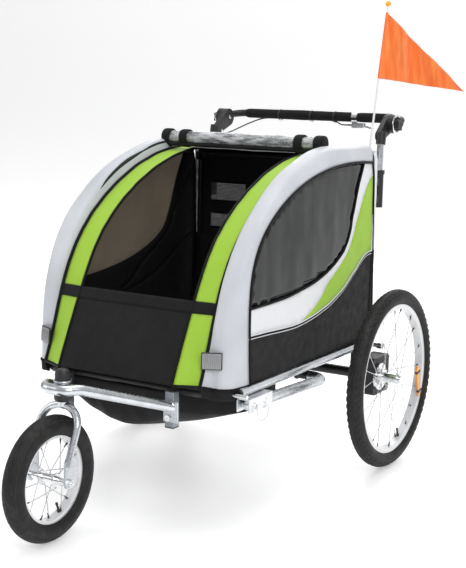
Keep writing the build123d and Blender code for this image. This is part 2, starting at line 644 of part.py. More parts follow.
with BuildPart() as flag_pole:
    add(rod(POLE_FOOT, POLE_TOP, POLE))
    with Locations(POLE_TOP + Vector(0, AXLE_Y, 4)):
        Sphere(8)
save(flag_pole, "flag_pole")

with BuildPart() as flag:
    fly = FLAG_TIP - HOIST_LOW
    hoist = HOIST_HIGH - HOIST_LOW
    fly_side = fly.normalized()
    up = fly.cross(hoist).normalized().cross(fly_side)
    top = (hoist.dot(fly_side), hoist.dot(up))
    cloth = Plane(origin=HOIST_LOW + Vector(0, AXLE_Y, 0), x_dir=fly_side, z_dir=fly.cross(hoist))
    with BuildSketch(cloth):
        Polygon((4, 0), (fly.length, 0), (top[0] + 4, top[1]), align=None)
    extrude(amount=0.75, both=True)
save(flag, "flag")

# ---------------------------------------------------------------- cover

with BuildPart() as front_panel:
    add(strip(PROFILE[:2], None, 0, CLOTH, 0.5 - STRIPE_IN, STRIPE_IN - 0.5))
save(front_panel, "front_panel")

with BuildPart() as green_stripes:
    add(strip(PROFILE, PROFILE_BEND, 0, CLOTH, STRIPE_IN, STRIPE_OUT))
    mirror(about=Plane.YZ)
save(green_stripes, "green_stripes")

# The silver bands stand on the hoops
with BuildPart() as silver_bands:
    add(strip(HOOP_LINE[:-1], HOOP_BENDS[:-1], TUBE + 0.6, CLOTH, BAND_IN, SIDE_X - 3.5))
    mirror(about=Plane.YZ)
save(silver_bands, "silver_bands")

with BuildPart() as roof_panel:
    add(block((0.5 - STRIPE_IN, -170, 866), (STRIPE_IN - 0.5, 50, 868.5)))
save(roof_panel, "roof_panel")

PANEL_LOW = 339.0
SEAM_LINE = [(-589, PANEL_LOW), (-609, 620), (-470, 765), (-250, 850), (70, 850)]
WINDOW = [(-590, 528), (-347, 549), (-149, 637), (-69, 705), (0, 832), (-245, 836), (-462, 752), (-588, 625)]


def side_outline():
    """The outline of a side panel, with its top along the seam over the hoop."""
    with BuildLine() as outline:
        FilletPolyline(*SEAM_LINE, radius=[120, 300, 300])
        Polyline(SEAM_LINE[-1], (93, PANEL_LOW), SEAM_LINE[0])
    return outline.wires()[0]


def window_outline(inset):
    """The rounded outline of a side window."""
    with BuildSketch() as outline:
        Polygon(*WINDOW, align=None)
        fillet(outline.vertices(), radius=18)
        if inset:
            offset(amount=-inset)
    return outline.sketch


for name, sign in SIDES.items():
    low = SIDE_X - 3 if sign > 0 else -SIDE_X
    with BuildPart() as side_panel:
        with BuildSketch(SIDE.offset(low)):
            make_face(side_outline().edges())
            add(window_outline(0), mode=Mode.SUBTRACT)
        extrude(amount=3)
    save(side_panel, f"side_panel_{name}")

with BuildPart() as windows:
    with BuildSketch(SIDE.offset(SIDE_X - 2)):
        add(window_outline(0.3))
    extrude(amount=1)
    mirror(about=Plane.YZ)
save(windows, "windows")

REAR_Y = 60.0
VENTS = [(172, 728, 126, 57), (172, 641, 126, 43)]

# The rear panel, with a mesh screen set in each of its vents
with BuildPart() as rear_panel:
    with BuildSketch(FRONT.offset(-REAR_Y)):
        with Locations((0, 600)):
            Rectangle(2 * 262, 516)
        for x, z, width, height in VENTS:
            with Locations((x, z), (-x, z)):
                Rectangle(width, height, mode=Mode.SUBTRACT)
    extrude(amount=-CLOTH)
    with BuildSketch(FRONT.offset(-REAR_Y - 0.5)):
        for x, z, width, height in VENTS:
            with Locations((x, z), (-x, z)):
                Rectangle(width - 0.6, height - 0.6)
    extrude(amount=-1)
save(rear_panel, "rear_panel")

with BuildPart() as front_reflectors:
    add(strip([(-678.8, 383), (-675.2, 426)], None, 0, 5, 240, 284))
    mirror(about=Plane.YZ)
save(front_reflectors, "front_reflectors")

with BuildPart() as rolled_cover:
    add(rod((-232, -150, 897), (232, -150, 897), 20))
save(rolled_cover, "rolled_cover")

with BuildPart() as roll_straps:
    for x in (-185, 185):
        add(rod((x - 13, -150, 897), (x + 13, -150, 897), 22, 20.2))
save(roll_straps, "roll_straps")

# ---------------------------------------------------------------- inside

TUB_SIDE = [(-704, 312), (-704, 246), (-690, 220), (-650, 206), (-430, 200), (-411, 214), (-411, 312)]
TUB_PLAN = [(150, -704), (270, -560), (270, -411), (-270, -411), (-270, -560), (-150, -704)]
TUB_FRONT = [(50, 200), (140, 222), (220, 238), (270, 262), (270, 312)]

# The sunken footwell, with the flat floor under the seat as a second solid
with BuildPart() as footwell:
    with BuildSketch(SIDE.offset(-270)):
        Polygon(*TUB_SIDE, align=None)
    extrude(amount=540)
    with BuildSketch(GROUND):
        Polygon(*TUB_PLAN, align=None)
    extrude(amount=400, mode=Mode.INTERSECT)
    with BuildSketch(FRONT.offset(720)):
        Polygon(*TUB_FRONT, *[(-x, z) for x, z in reversed(TUB_FRONT)], align=None)
    extrude(amount=-320, mode=Mode.INTERSECT)
    tops = footwell.faces().sort_by(Axis.Z)[-1]
    offset(amount=-2.5, openings=tops)
    add(block((-288, SEAT_TUBE_Y + 12, 321), (288, RAIL_REAR - 2, 324)))
save(footwell, "footwell")

SEAT_LINE = [(-17, 600), (-48, 398), (-330, 440)]
SEAT_X = 230.0

# The padded sling seat, with four harness straps down its back
with BuildPart() as seat:
    add(strip(list(reversed(SEAT_LINE)), 45, 0, 12, -SEAT_X, SEAT_X))
    for x in (-165, -65, 65, 165):
        add(strip([(-40, 452), SEAT_LINE[0]], None, 13, 2, x - 12, x + 12))
save(seat, "seat")
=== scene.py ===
"""The looks of a two-child bicycle trailer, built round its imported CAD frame.

Metres, +Z up, front towards -Y.
"""

import math

import bmesh
import bpy
from mathutils import Matrix, Vector, noise
from mathutils.geometry import delaunay_2d_cdt


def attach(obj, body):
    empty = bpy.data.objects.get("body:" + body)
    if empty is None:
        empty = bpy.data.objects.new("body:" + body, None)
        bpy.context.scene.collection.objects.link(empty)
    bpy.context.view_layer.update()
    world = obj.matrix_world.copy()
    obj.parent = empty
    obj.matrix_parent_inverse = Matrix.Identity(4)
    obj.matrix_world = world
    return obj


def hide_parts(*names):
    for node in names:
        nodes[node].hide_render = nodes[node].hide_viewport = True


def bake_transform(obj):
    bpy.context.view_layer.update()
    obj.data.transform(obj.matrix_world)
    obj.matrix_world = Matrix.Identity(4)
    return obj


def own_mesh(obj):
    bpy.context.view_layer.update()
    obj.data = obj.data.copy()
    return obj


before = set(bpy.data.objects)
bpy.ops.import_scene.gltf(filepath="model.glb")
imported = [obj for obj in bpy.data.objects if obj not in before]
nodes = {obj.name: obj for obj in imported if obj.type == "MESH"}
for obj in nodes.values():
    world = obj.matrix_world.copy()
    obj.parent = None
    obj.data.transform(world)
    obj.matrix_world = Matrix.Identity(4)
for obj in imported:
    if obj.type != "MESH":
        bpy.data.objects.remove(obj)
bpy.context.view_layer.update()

AXLE_Y = 0.3555  # rear axle; lengths along Y below are counted from it
SIDES = {"left": 1, "right": -1}
CABIN = Vector((0, AXLE_Y - 0.25, 0.55))  # a point inside the cover


def at(x, y, z):
    """A point whose Y is counted from the rear axle."""
    return Vector((x, y + AXLE_Y, z))


def smooth_step(value, low, high):
    """0 below low, 1 above high, and smooth in between."""
    t = min(1.0, max(0.0, (value - low) / (high - low)))
    return t * t * (3 - 2 * t)


def ripple(x, y, z, scale, seed=0.0):
    """Smooth noise from -1 to 1."""
    return noise.noise(Vector((x * scale + seed, y * scale, z * scale)))


# ---------------------------------------------------------------- lines and meshes


def spline(points, t):
    """The point at t, counted in points, on a smooth line through them."""
    last = len(points) - 1
    i = min(max(int(t), 0), last - 1)
    u = t - i
    a, b, c, d = (Vector(points[min(max(k, 0), last)]) for k in (i - 1, i, i + 1, i + 2))
    return 0.5 * (
        2 * b + (c - a) * u + (2 * a - 5 * b + 4 * c - d) * u**2 + (3 * b - a - 3 * c + d) * u**3
    )


def along(points, count):
    """That many points, evenly spaced on a smooth line through the given ones."""
    fine = [spline(points, i / 12) for i in range(12 * (len(points) - 1) + 1)]
    return spread(fine, count)


def spread(fine, count):
    """That many points, evenly spaced on a line of short straight runs."""
    reach = [0.0]
    for a, b in zip(fine, fine[1:]):
        reach.append(reach[-1] + (b - a).length)
    made = []
    k = 0
    for i in range(count):
        wanted = reach[-1] * i / (count - 1)
        while k < len(fine) - 2 and reach[k + 1] < wanted:
            k += 1
        run = max(reach[k + 1] - reach[k], 1e-9)
        made.append(fine[k].lerp(fine[k + 1], min(1.0, (wanted - reach[k]) / run)))
    return made


class Shape:
    """Points and faces gathered into one mesh."""

    def __init__(self):
        self.points = []
        self.faces = []

    def add(self, points, faces):
        first = len(self.points)
        self.points += [Vector(p) for p in points]
        self.faces += [[first + i for i in face] for face in faces]
        return self

    def grid(self, rows, round_rows=False, round_columns=False):
        """A surface through rows of points, closed along or across the rows if asked."""
        high, wide = len(rows), len(rows[0])
        faces = []
        for i in range(high if round_columns else high - 1):
            for j in range(wide if round_rows else wide - 1):
                k, n = (i + 1) % high, (j + 1) % wide
                faces.append((i * wide + j, i * wide + n, k * wide + n, k * wide + j))
        return self.add([p for row in rows for p in row], faces)

    def tube(self, path, radius, sides=10, closed=False, squeeze=1.0, normal=None):
        """A round or flattened tube along a path; radius is one number or one for each point."""
        path = [Vector(p) for p in path]
        count = len(path)
        radii = radius if isinstance(radius, list) else [radius] * count
        rows = []
        for i, p in enumerate(path):
            before = path[i - 1] if i or closed else p
            after = path[(i + 1) % count] if i < count - 1 or closed else p
            way = (after - before).normalized()
            normal = Vector(normal) if normal else way.orthogonal()
            normal = (normal - way * normal.dot(way)).normalized()
            side = way.cross(normal)
            turns = [2 * math.pi * k / sides for k in range(sides)]
            rows.append(
                [p + (normal * math.cos(a) * squeeze + side * math.sin(a)) * radii[i] for a in turns]
            )
        first = len(self.points)
        self.grid(rows, round_rows=True, round_columns=closed)
        if not closed:
            self.faces.append(list(range(first, first + sides))[::-1])
            self.faces.append(list(range(first + sides * (count - 1), first + sides * count)))
        return self

    def lathe(self, outline, centre, axis, sides=48, ring=False):
        """An outline of (radius, distance along the axis) turned round it; ring closes the outline."""
        axis = Vector(axis).normalized()
        arm = axis.orthogonal().normalized()
        rows = []
        for i in range(sides):
            out = Matrix.Rotation(2 * math.pi * i / sides, 3, axis) @ arm
            rows.append([Vector(centre) + out * r + axis * s for r, s in outline])
        return self.grid(rows, round_rows=ring, round_columns=True)

    def box(self, centre, size, turn=None):
        """A box, turned about its centre if asked."""
        turn = turn or Matrix.Identity(3)
        corners = [(i, j, k) for i in (-0.5, 0.5) for j in (-0.5, 0.5) for k in (-0.5, 0.5)]
        points = [
            Vector(centre) + turn @ Vector([c * s for c, s in zip(corner, size)]) for corner in corners
        ]
        return self.add(
            points, [(0, 1, 3, 2), (4, 6, 7, 5), (0, 4, 5, 1), (2, 3, 7, 6), (0, 2, 6, 4), (1, 5, 7, 3)]
        )

    def mirrored(self):
        """The same again on the other side of the trailer."""
        points = [Vector((-p.x, p.y, p.z)) for p in self.points]
        return self.add(points, [face[::-1] for face in list(self.faces)])

    def make(
        self, name, paint, body, replaces=(), slot=None, thick=0.0, bevel=0.0, levels=0, angle=35,
        lining=None
    ):
        """The finished object, riding on its body; lining is the paint of a sheet's inner side."""
        mesh = bpy.data.meshes.new(name)
        work = bmesh.new()
        corners = [work.verts.new(p) for p in self.points]
        for face in self.faces:
            try:
                work.faces.new([corners[i] for i in face])
            except ValueError:
                continue
        bmesh.ops.remove_doubles(work, verts=work.verts, dist=2e-5)
        bmesh.ops.recalc_face_normals(work, faces=work.faces)
        if lining:
            for side in (1, -1):
                half = [face for face in work.faces if face.calc_center_median().x * side > 0]
                outward = sum(
                    f.normal.dot(f.calc_center_median() - CABIN) * f.calc_area() for f in half
                )
                if outward < 0:
                    bmesh.ops.reverse_faces(work, faces=half)
        work.to_mesh(mesh)
        work.free()
        mesh.shade_smooth()
        mesh.set_sharp_from_angle(angle=math.radians(angle))
        mesh.materials.append(paint)
        obj = bpy.data.objects.new(name, mesh)
        bpy.context.scene.collection.objects.link(obj)
        if bevel:
            cut = obj.modifiers.new("bevel", "BEVEL")
            cut.width = bevel
            cut.segments = 2
            cut.limit_method = "ANGLE"
        if thick:
            sheet = obj.modifiers.new("thickness", "SOLIDIFY")
            sheet.thickness = thick
            sheet.offset = -1 if lining else 0
            if lining:
                mesh.materials.append(lining)
                sheet.material_offset = 1
        if levels:
            divide = obj.modifiers.new("smooth", "SUBSURF")
            divide.levels = divide.render_levels = levels
        if body:
            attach(obj, body)
        if replaces:
            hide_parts(*replaces)
        return obj


def squashed(obj):
    """A soft piece of the cover, given a mesh of its own."""
    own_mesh(obj)
    return obj


# ---------------------------------------------------------------- materials


class Paint:
    """A procedural material under construction."""

    def __init__(self, name, colour, rough, metal=0.0, **sockets):
        self.material = bpy.data.materials.new(name)
        self.material.use_nodes = True
        self.tree = self.material.node_tree
        self.shader = self.tree.nodes["Principled BSDF"]
        self.colour = (*colour, 1.0)
        self.set("Base Color", self.colour)
        self.set("Roughness", rough)
        self.set("Metallic", metal)
        for socket, value in sockets.items():
            self.set(socket.replace("_", " "), value)
        self.place = self.tree.nodes.new("ShaderNodeTexCoord").outputs["Object"]

    def set(self, socket, value):
        self.shader.inputs[socket].default_value = value

    def node(self, kind, inputs=None, **settings):
        made = self.tree.nodes.new("ShaderNode" + kind)
        for key, value in settings.items():
            setattr(made, key, value)
        for key, value in (inputs or {}).items():
            if isinstance(value, bpy.types.NodeSocket):
                self.tree.links.new(value, made.inputs[key])
            else:
                made.inputs[key].default_value = value
        return made

    def scaled(self, scale):
        """Object coordinates, stretched by three factors."""
        return self.node("Mapping", {"Vector": self.place, "Scale": scale}).outputs["Vector"]

    def noise(self, scale, detail=3.0, stretch=(1, 1, 1)):
        inputs = {"Vector": self.scaled(stretch), "Scale": scale, "Detail": detail}
        return self.node("TexNoise", inputs).outputs["Fac"]

    def wave(self, scale, direction, stretch=(1, 1, 1), distortion=0.0):
        inputs = {"Vector": self.scaled(stretch), "Scale": scale, "Distortion": distortion}
        return self.node("TexWave", inputs, bands_direction=direction).outputs["Fac"]

    def cells(self, scale, stretch=(1, 1, 1), feature="F1"):
        inputs = {"Vector": self.scaled(stretch), "Scale": scale}
        return self.node("TexVoronoi", inputs, feature=feature).outputs["Distance"]

    def span(self, source, low, high, to_low, to_high):
        """Source from low to high, turned into to_low to to_high."""
        inputs = {
            "Value": source, "From Min": low, "From Max": high, "To Min": to_low, "To Max": to_high
        }
        return self.node("MapRange", inputs).outputs["Result"]

    def maths(self, operation, a, b):
        return self.node("Math", {0: a, 1: b}, operation=operation).outputs[0]

    def link(self, source, socket):
        self.tree.links.new(source, self.shader.inputs[socket])
        return self

    def tint(self, other, amount):
        """Mix another colour in by an amount that changes over the surface."""
        links = self.shader.inputs["Base Color"].links
        now = links[0].from_socket if links else self.colour
        made = self.node("Mix", {"Factor": amount}, data_type="RGBA")
        if isinstance(now, bpy.types.NodeSocket):
            self.tree.links.new(now, made.inputs[6])
        else:
            made.inputs[6].default_value = now
        made.inputs[7].default_value = (*other, 1.0)
        return self.link(made.outputs[2], "Base Color")

    def bump(self, height, strength, distance=0.001):
        links = self.shader.inputs["Normal"].links
        inputs = {"Height": height, "Strength": strength, "Distance": distance}
        if links:
            inputs["Normal"] = links[0].from_socket
        return self.link(self.node("Bump", inputs).outputs["Normal"], "Normal")

    def edges(self):
        """1 along outer edges, 0 on flat faces."""
        rounded = self.node("Bevel", {"Radius": 0.0016}, samples=4).outputs["Normal"]
        flat = self.node("NewGeometry").outputs["Normal"]
        agreement = self.node("VectorMath", {0: rounded, 1: flat}, operation="DOT_PRODUCT").outputs[
            "Value"
        ]
        return self.span(agreement, 0.86, 0.985, 1.0, 0.0)


def cloth(name, colour, rough, shade, weave=420, sheen=0.3, wrinkle=0.5, light=None):
    """Coated woven polyester: threads both ways, soft creases and a slight change of shade."""
    dark = max(colour) < 0.1
    paint = Paint(
        name, colour, rough, Sheen_Weight=sheen, Sheen_Roughness=0.4,
        Specular_IOR_Level=0.15 if dark else 0.4
    )
    large = paint.noise(7, 4)
    paint.tint(shade, paint.span(large, 0.35, 0.75, 0.0, 0.55))
    threads = paint.maths("ADD", paint.wave(weave, "X"), paint.wave(weave, "Y"))
    threads = paint.maths("ADD", threads, paint.wave(weave, "Z"))
    # Where the threads stand highest the colour is made lighter: a painted highlight on the thread crests.
    if light:
        paint.tint(light, paint.span(threads, 1.6, 2.6, 0.0, 0.35))
    paint.bump(threads, 0.25, 0.0003)
    paint.bump(paint.noise(24, 3, (1, 1, 0.6)), wrinkle, 0.003)
    paint.bump(paint.noise(300, 2), 0.15, 0.0005)
    paint.link(paint.span(paint.noise(40, 3), 0.3, 0.7, rough - 0.08, rough + 0.1), "Roughness")
    return paint


def metal(name, colour, rough, mottle, dull, scratch=0.25):
    """Bare or plated metal with cloudy patches and fine scratches."""
    paint = Paint(name, colour, rough, 1.0)
    paint.tint(dull, paint.span(paint.noise(mottle, 5), 0.35, 0.7, 0.0, 0.8))
    scratches = paint.noise(60, 4, (1, 1, 14))
    paint.link(paint.span(scratches, 0.3, 0.75, rough - 0.06, rough + 0.14), "Roughness")
    paint.bump(scratches, scratch, 0.0003)
    return paint


def moulded(name, colour, rough, edge_wear_and_highlight=(0.25, 0.25, 0.25), grain=900, wear=0.35):
    """Moulded plastic or powder coat: fine grain, and edges lighter, partly rubbed wear and partly a painted
    highlight.
    """
    paint = Paint(name, colour, rough)
    # Edges tinted lighter: partly rubbed wear, partly a painted highlight.
    paint.tint(edge_wear_and_highlight, paint.maths("MULTIPLY", paint.edges(), wear))
    paint.bump(paint.noise(grain, 2), 0.2, 0.0004)
    paint.link(paint.span(paint.noise(30, 4), 0.3, 0.7, rough - 0.07, rough + 0.12), "Roughness")
    return paint


GREEN = cloth(
    "green cloth", (0.36, 0.60, 0.045), 0.62, (0.29, 0.51, 0.03), sheen=0.1, light=(0.44, 0.69, 0.08)
).material
SILVER = cloth(
    "silver cloth", (0.64, 0.66, 0.70), 0.36, (0.47, 0.50, 0.54), sheen=0.1, wrinkle=0.8
).material
WHITE = cloth("white cloth", (0.84, 0.85, 0.87), 0.5, (0.74, 0.75, 0.78), sheen=0.1).material
BLACK = cloth("black cloth", (0.012, 0.012, 0.013), 0.6, (0.019, 0.019, 0.020), sheen=0.03).material
LINING = cloth("lining cloth", (0.008, 0.008, 0.009), 0.8, (0.013, 0.013, 0.014), sheen=0.0).material
PIPING = cloth(
    "piping", (0.006, 0.006, 0.006), 0.5, (0.012, 0.012, 0.012), weave=700, sheen=0.0, wrinkle=0.1
).material
WEBBING = cloth(
    "webbing", (0.010, 0.010, 0.011), 0.65, (0.018, 0.018, 0.018), weave=520, sheen=0.03, wrinkle=0.2
).material
GALVANISED = metal("galvanised tube", (0.72, 0.74, 0.77), 0.24, 26, (0.52, 0.55, 0.58)).material
ZINC = metal("dull zinc", (0.36, 0.39, 0.42), 0.42, 40, (0.26, 0.28, 0.31)).material
BRIGHT = metal("zinc white plate", (0.86, 0.87, 0.88), 0.3, 30, (0.7, 0.71, 0.73)).material
CHROME = metal("chrome", (0.86, 0.87, 0.88), 0.1, 50, (0.7, 0.71, 0.72), 0.05).material
SPOKE = metal("stainless spoke", (0.62, 0.63, 0.65), 0.3, 80, (0.5, 0.5, 0.52), 0.05).material
COATED = moulded(
    "black powder coat", (0.010, 0.010, 0.011), 0.45, (0.40, 0.40, 0.41), 500, 0.35
).material
PLASTIC = moulded("black plastic", (0.016, 0.016, 0.017), 0.42).material
WHITE_PLASTIC = moulded("white plastic", (0.85, 0.85, 0.85), 0.3, (0.95, 0.95, 0.95)).material


def make_rim_paint():
    paint = Paint("rim enamel", (0.83, 0.84, 0.86), 0.28, Coat_Weight=0.5, Coat_Roughness=0.12)
    paint.tint((0.6, 0.61, 0.63), paint.span(paint.noise(18, 5), 0.45, 0.75, 0.0, 0.5))
    paint.bump(paint.noise(500, 2), 0.06, 0.0003)
    return paint.material


def make_tyre_paint():
    paint = Paint("tyre rubber", (0.012, 0.012, 0.012), 0.6, Specular_IOR_Level=0.3)
    paint.tint((0.05, 0.048, 0.045), paint.span(paint.noise(35, 5), 0.5, 0.8, 0.0, 0.6))
    # Edges of the blocks and ribs tinted lighter: a painted highlight.
    paint.tint((0.07, 0.068, 0.065), paint.maths("MULTIPLY", paint.edges(), 0.7))
    paint.bump(paint.noise(900, 3), 0.3, 0.0005)
    return paint.material


def make_foam_paint():
    paint = Paint("foam", (0.008, 0.008, 0.008), 0.85, Specular_IOR_Level=0.2)
    paint.bump(paint.cells(700), 0.5, 0.0006)
    paint.bump(paint.noise(60, 3), 0.3, 0.001)
    paint.tint((0.02, 0.02, 0.02), paint.noise(45, 3))
    return paint.material


def make_film_paint():
    """Dark tinted window film, slightly wavy, with lighter upright streaks painted in as reflections."""
    paint = Paint("tinted film", (0.007, 0.008, 0.008), 0.10, Specular_IOR_Level=0.25, Coat_Weight=0.06)
    # Lighter streaks, long and upright: painted reflections on the film.
    paint.tint(
        (0.020, 0.024, 0.022), paint.span(paint.noise(11, 3, (1, 2.2, 0.4)), 0.5, 0.72, 0.0, 0.8)
    )
    paint.bump(paint.noise(7, 1, (1, 1.8, 0.5)), 0.35, 0.010)
    return paint.material


def make_mesh_paint():
    """The woven mesh behind the window film, as seen from the seats; its emission is a painted glow for the
    daylight behind it.
    """
    paint = Paint("window mesh", (0.085, 0.072, 0.052), 0.7)
    threads = paint.maths(
        "MULTIPLY", paint.wave(95, "Y", distortion=0.3), paint.wave(95, "Z", distortion=0.3)
    )
    paint.tint((0.19, 0.165, 0.125), paint.span(threads, 0.1, 0.7, 0.0, 1.0))
    paint.tint((0.05, 0.042, 0.032), paint.span(paint.noise(7, 3), 0.45, 0.7, 0.0, 0.7))
    # Emission: a painted glow standing in for daylight through the mesh.
    paint.set("Emission Color", (0.16, 0.135, 0.10, 1.0))
    paint.set("Emission Strength", 0.3)
    paint.bump(threads, 0.4, 0.0005)
    return paint.material


def make_vinyl_paint():
    """Clear vinyl, cloudy where it is creased."""
    paint = Paint("clear vinyl", (0.80, 0.82, 0.84), 0.09, Coat_Weight=1.0, Coat_Roughness=0.03)
    creases = paint.noise(52, 5, (0.35, 1, 1))
    paint.link(paint.span(creases, 0.35, 0.62, 0.16, 0.62), "Alpha")
    # Darker patches, long across the trailer: painted shade among the folds of the roll.
    paint.tint((0.22, 0.23, 0.24), paint.span(paint.noise(90, 4, (0.3, 1, 1)), 0.45, 0.6, 0.0, 0.9))
    paint.bump(creases, 1.0, 0.008)
    paint.bump(paint.noise(160, 4, (0.5, 1, 1)), 0.6, 0.003)
    return paint.material


def make_screen_paint():
    """Open mesh: dark threads with light coming through the holes."""
    paint = Paint("mesh screen", (0.06, 0.06, 0.062), 0.6)
    holes = paint.maths(
        "MULTIPLY", paint.wave(75, "X", distortion=0.4), paint.wave(75, "Z", distortion=0.4)
    )
    patches = paint.noise(30, 4)
    paint.tint((0.22, 0.22, 0.23), paint.span(patches, 0.4, 0.7, 0.0, 0.8))
    paint.link(paint.span(holes, 0.2, 0.6, 0.95, 0.6), "Alpha")
    return paint.material


def make_lens_paint(name, colour, bright, scale, ribs):
    """A reflector: a clear lens over prisms or ribs."""
    paint = Paint(name, colour, 0.22, Coat_Weight=1.0, Coat_Roughness=0.05)
    if ribs:
        pattern = paint.wave(scale, "X")
    else:
        pattern = paint.cells(scale, feature="DISTANCE_TO_EDGE")
    paint.tint(bright, paint.span(pattern, 0.1, 0.7, 0.0, 0.8))
    paint.bump(pattern, 0.8, 0.0012)
    return paint.material


def make_flag_paint():
    paint = Paint("flag nylon", (0.95, 0.16, 0.012), 0.42, Sheen_Weight=0.2, Coat_Weight=0.15)
    folds = paint.noise(26, 4, (2.2, 2.2, 0.25))
    # Lighter where the folds stand out: a painted highlight on their crests.
    paint.tint((1.0, 0.3, 0.06), paint.span(folds, 0.42, 0.7, 0.0, 0.9))
    paint.tint((0.75, 0.1, 0.01), paint.span(paint.noise(14, 3, (2, 2, 0.3)), 0.5, 0.75, 0.0, 0.7))
    paint.bump(folds, 0.8, 0.004)
    paint.bump(paint.wave(600, "Z"), 0.15, 0.0003)
    return paint.material


RIM = make_rim_paint()
TYRE = make_tyre_paint()
FOAM = make_foam_paint()
FILM = make_film_paint()
MESH = make_mesh_paint()
VINYL = make_vinyl_paint()
SCREEN = make_screen_paint()
AMBER = make_lens_paint("amber lens", (0.85, 0.3, 0.01), (1.0, 0.55, 0.06), 260, False)
CLEAR_LENS = make_lens_paint("clear lens", (0.24, 0.25, 0.26), (0.52, 0.53, 0.54), 160, True)
FLAG = make_flag_paint()


def make_ball_paint():
    paint = Paint("yellow ball", (0.95, 0.5, 0.03), 0.35)
    paint.tint((0.85, 0.4, 0.02), paint.noise(90, 3))
    paint.bump(paint.noise(400, 2), 0.2, 0.0004)
    return paint.material


BALL = make_ball_paint()


def wear(names, paint, slot):
    """Give CAD nodes their finish."""
    for name in names.split():
        node = nodes[name]
        node.data.materials.clear()
        node.data.materials.append(paint)


wear("floor_tubes jogger_arm tow_tube handle_stems fork hitch_tongue", GALVANISED, "steel_tube")
wear("tow_bracket", BRIGHT, "steel_tube")
wear("arm_posts fold_brackets", ZINC, "post_steel")
wear(
    "nose_tube rear_axle_tube wheel_brackets rear_frame_tubes hoops handlebar_tube", COATED,
    "black_steel"
)
wear(
    "frame_pins brake_clamp brake_lever lock_knob_left lock_knob_right rear_axles front_axle", CHROME,
    "chrome"
)
wear("hub_front hub_left hub_right", CHROME, "chrome")
wear("spokes_front spokes_left spokes_right", SPOKE, "chrome")
wear("rim_front rim_left rim_right", RIM, "white_rim")
wear("head_cap elbows tilt_knobs handle_receivers tow_flex", PLASTIC, "black_plastic")
wear("keeper_ring", WHITE_PLASTIC, "white_plastic")

# ---------------------------------------------------------------- cover: its lines, as (Y, Z)

STRIPE_LINE = [
    (-0.738, 0.345), (-0.714, 0.400), (-0.684, 0.462), (-0.648, 0.530), (-0.617, 0.590),
    (-0.588, 0.647), (-0.545, 0.692), (-0.476, 0.749), (-0.404, 0.792), (-0.304, 0.835),
    (-0.211, 0.866), (-0.100, 0.872), (0.000, 0.872), (0.085, 0.868),
]
BAND_MIDDLE = [
    (-0.684, 0.336), (-0.672, 0.430), (-0.657, 0.538), (-0.632, 0.605), (-0.589, 0.671),
    (-0.527, 0.736), (-0.450, 0.802), (-0.357, 0.846), (-0.246, 0.882), (-0.175, 0.897),
    (-0.080, 0.900), (0.030, 0.894), (0.100, 0.879),
]
BAND_SEAM = [
    (-0.590, 0.334), (-0.597, 0.420), (-0.602, 0.520), (-0.601, 0.590), (-0.584, 0.653),
    (-0.545, 0.706), (-0.472, 0.757), (-0.390, 0.797), (-0.290, 0.828), (-0.183, 0.844),
    (-0.090, 0.848), (-0.010, 0.848), (0.062, 0.842),
]
REAR_EDGE = [
    (0.062, 0.842), (0.072, 0.800), (0.076, 0.719), (0.082, 0.592), (0.091, 0.441), (0.096, 0.336)
]
WINDOW_LOW = [
    (-0.602, 0.524), (-0.501, 0.525), (-0.394, 0.531), (-0.270, 0.549), (-0.173, 0.578),
    (-0.107, 0.613), (-0.075, 0.652), (-0.051, 0.713), (-0.026, 0.779), (-0.005, 0.820), (0.008, 0.848),
]
GREEN_UP = [
    (-0.335, 0.452), (-0.250, 0.489), (-0.198, 0.530), (-0.127, 0.573), (-0.072, 0.612),
    (-0.024, 0.689), (0.013, 0.750), (0.044, 0.790), (0.072, 0.808),
]
BLACK_TOP = [
    (-0.600, 0.459), (-0.516, 0.456), (-0.409, 0.451), (-0.335, 0.452), (-0.221, 0.469),
    (-0.122, 0.499), (-0.042, 0.541), (0.016, 0.577), (0.050, 0.590), (0.082, 0.592),
]

HOOP = [
    (-0.669, 0.330), (-0.652, 0.545), (-0.560, 0.697), (-0.404, 0.819), (-0.205, 0.881),
    (0.018, 0.877), (0.080, 0.872)
]


def eased(points):
    """The same points with the small unevenness between neighbours taken out."""
    made = [Vector(p) for p in points]
    for _ in range(2):
        inner = [(a + 2 * b + c) / 4 for a, b, c in zip(made, made[1:], made[2:])]
        made = [made[0], *inner, made[-1]]
    return [tuple(p) for p in made]


STRIPE_LINE, BAND_MIDDLE, BAND_SEAM = (
    eased(points) for points in (STRIPE_LINE, BAND_MIDDLE, BAND_SEAM)
)
STRIPE_X = (0.172, 0.233)
BAND_X = 0.2375
SIDE_X = 0.300


def side_point(y, z, out=0.0):
    """A point of the left side panel, which swells a little between its edges."""
    swell = math.sin(math.pi * smooth_step(y, -0.62, 0.10)) * math.sin(
        math.pi * smooth_step(z, 0.33, 0.86)
    )
    soft = 0.0011 * ripple(0, y + z, z, 16) + 0.0008 * ripple(0, y * 2, z - y, 34, 5)
    return at(SIDE_X + 0.005 * swell + soft * min(1.0, 4 * swell) + out, y, z)


def fill(outline, spacing):
    """Points and triangles that fill an outline in a plane."""
    count = len(outline)
    ys = [p[0] for p in outline]
    zs = [p[1] for p in outline]

    def inside(y, z):
        hit = False
        for (y0, z0), (y1, z1) in zip(outline, outline[1:] + outline[:1]):
            if (z0 > z) != (z1 > z) and y < (y1 - y0) * (z - z0) / (z1 - z0) + y0:
                hit = not hit
        return hit

    points = [Vector(p) for p in outline]
    row = 0
    z = min(zs) + spacing / 2
    while z < max(zs):
        y = min(ys) + spacing * (0.25 if row % 2 else 0.75)
        while y < max(ys):
            near = min((Vector((y, z)) - p).length for p in points[:count])
            if inside(y, z) and near > spacing * 0.55:
                points.append(Vector((y, z)))
            y += spacing
        z += spacing * 0.87
        row += 1
    ring = [(i, (i + 1) % count) for i in range(count)]
    made = delaunay_2d_cdt(points, ring, [list(range(count))], 1, 1e-7)
    return made[0], made[2]


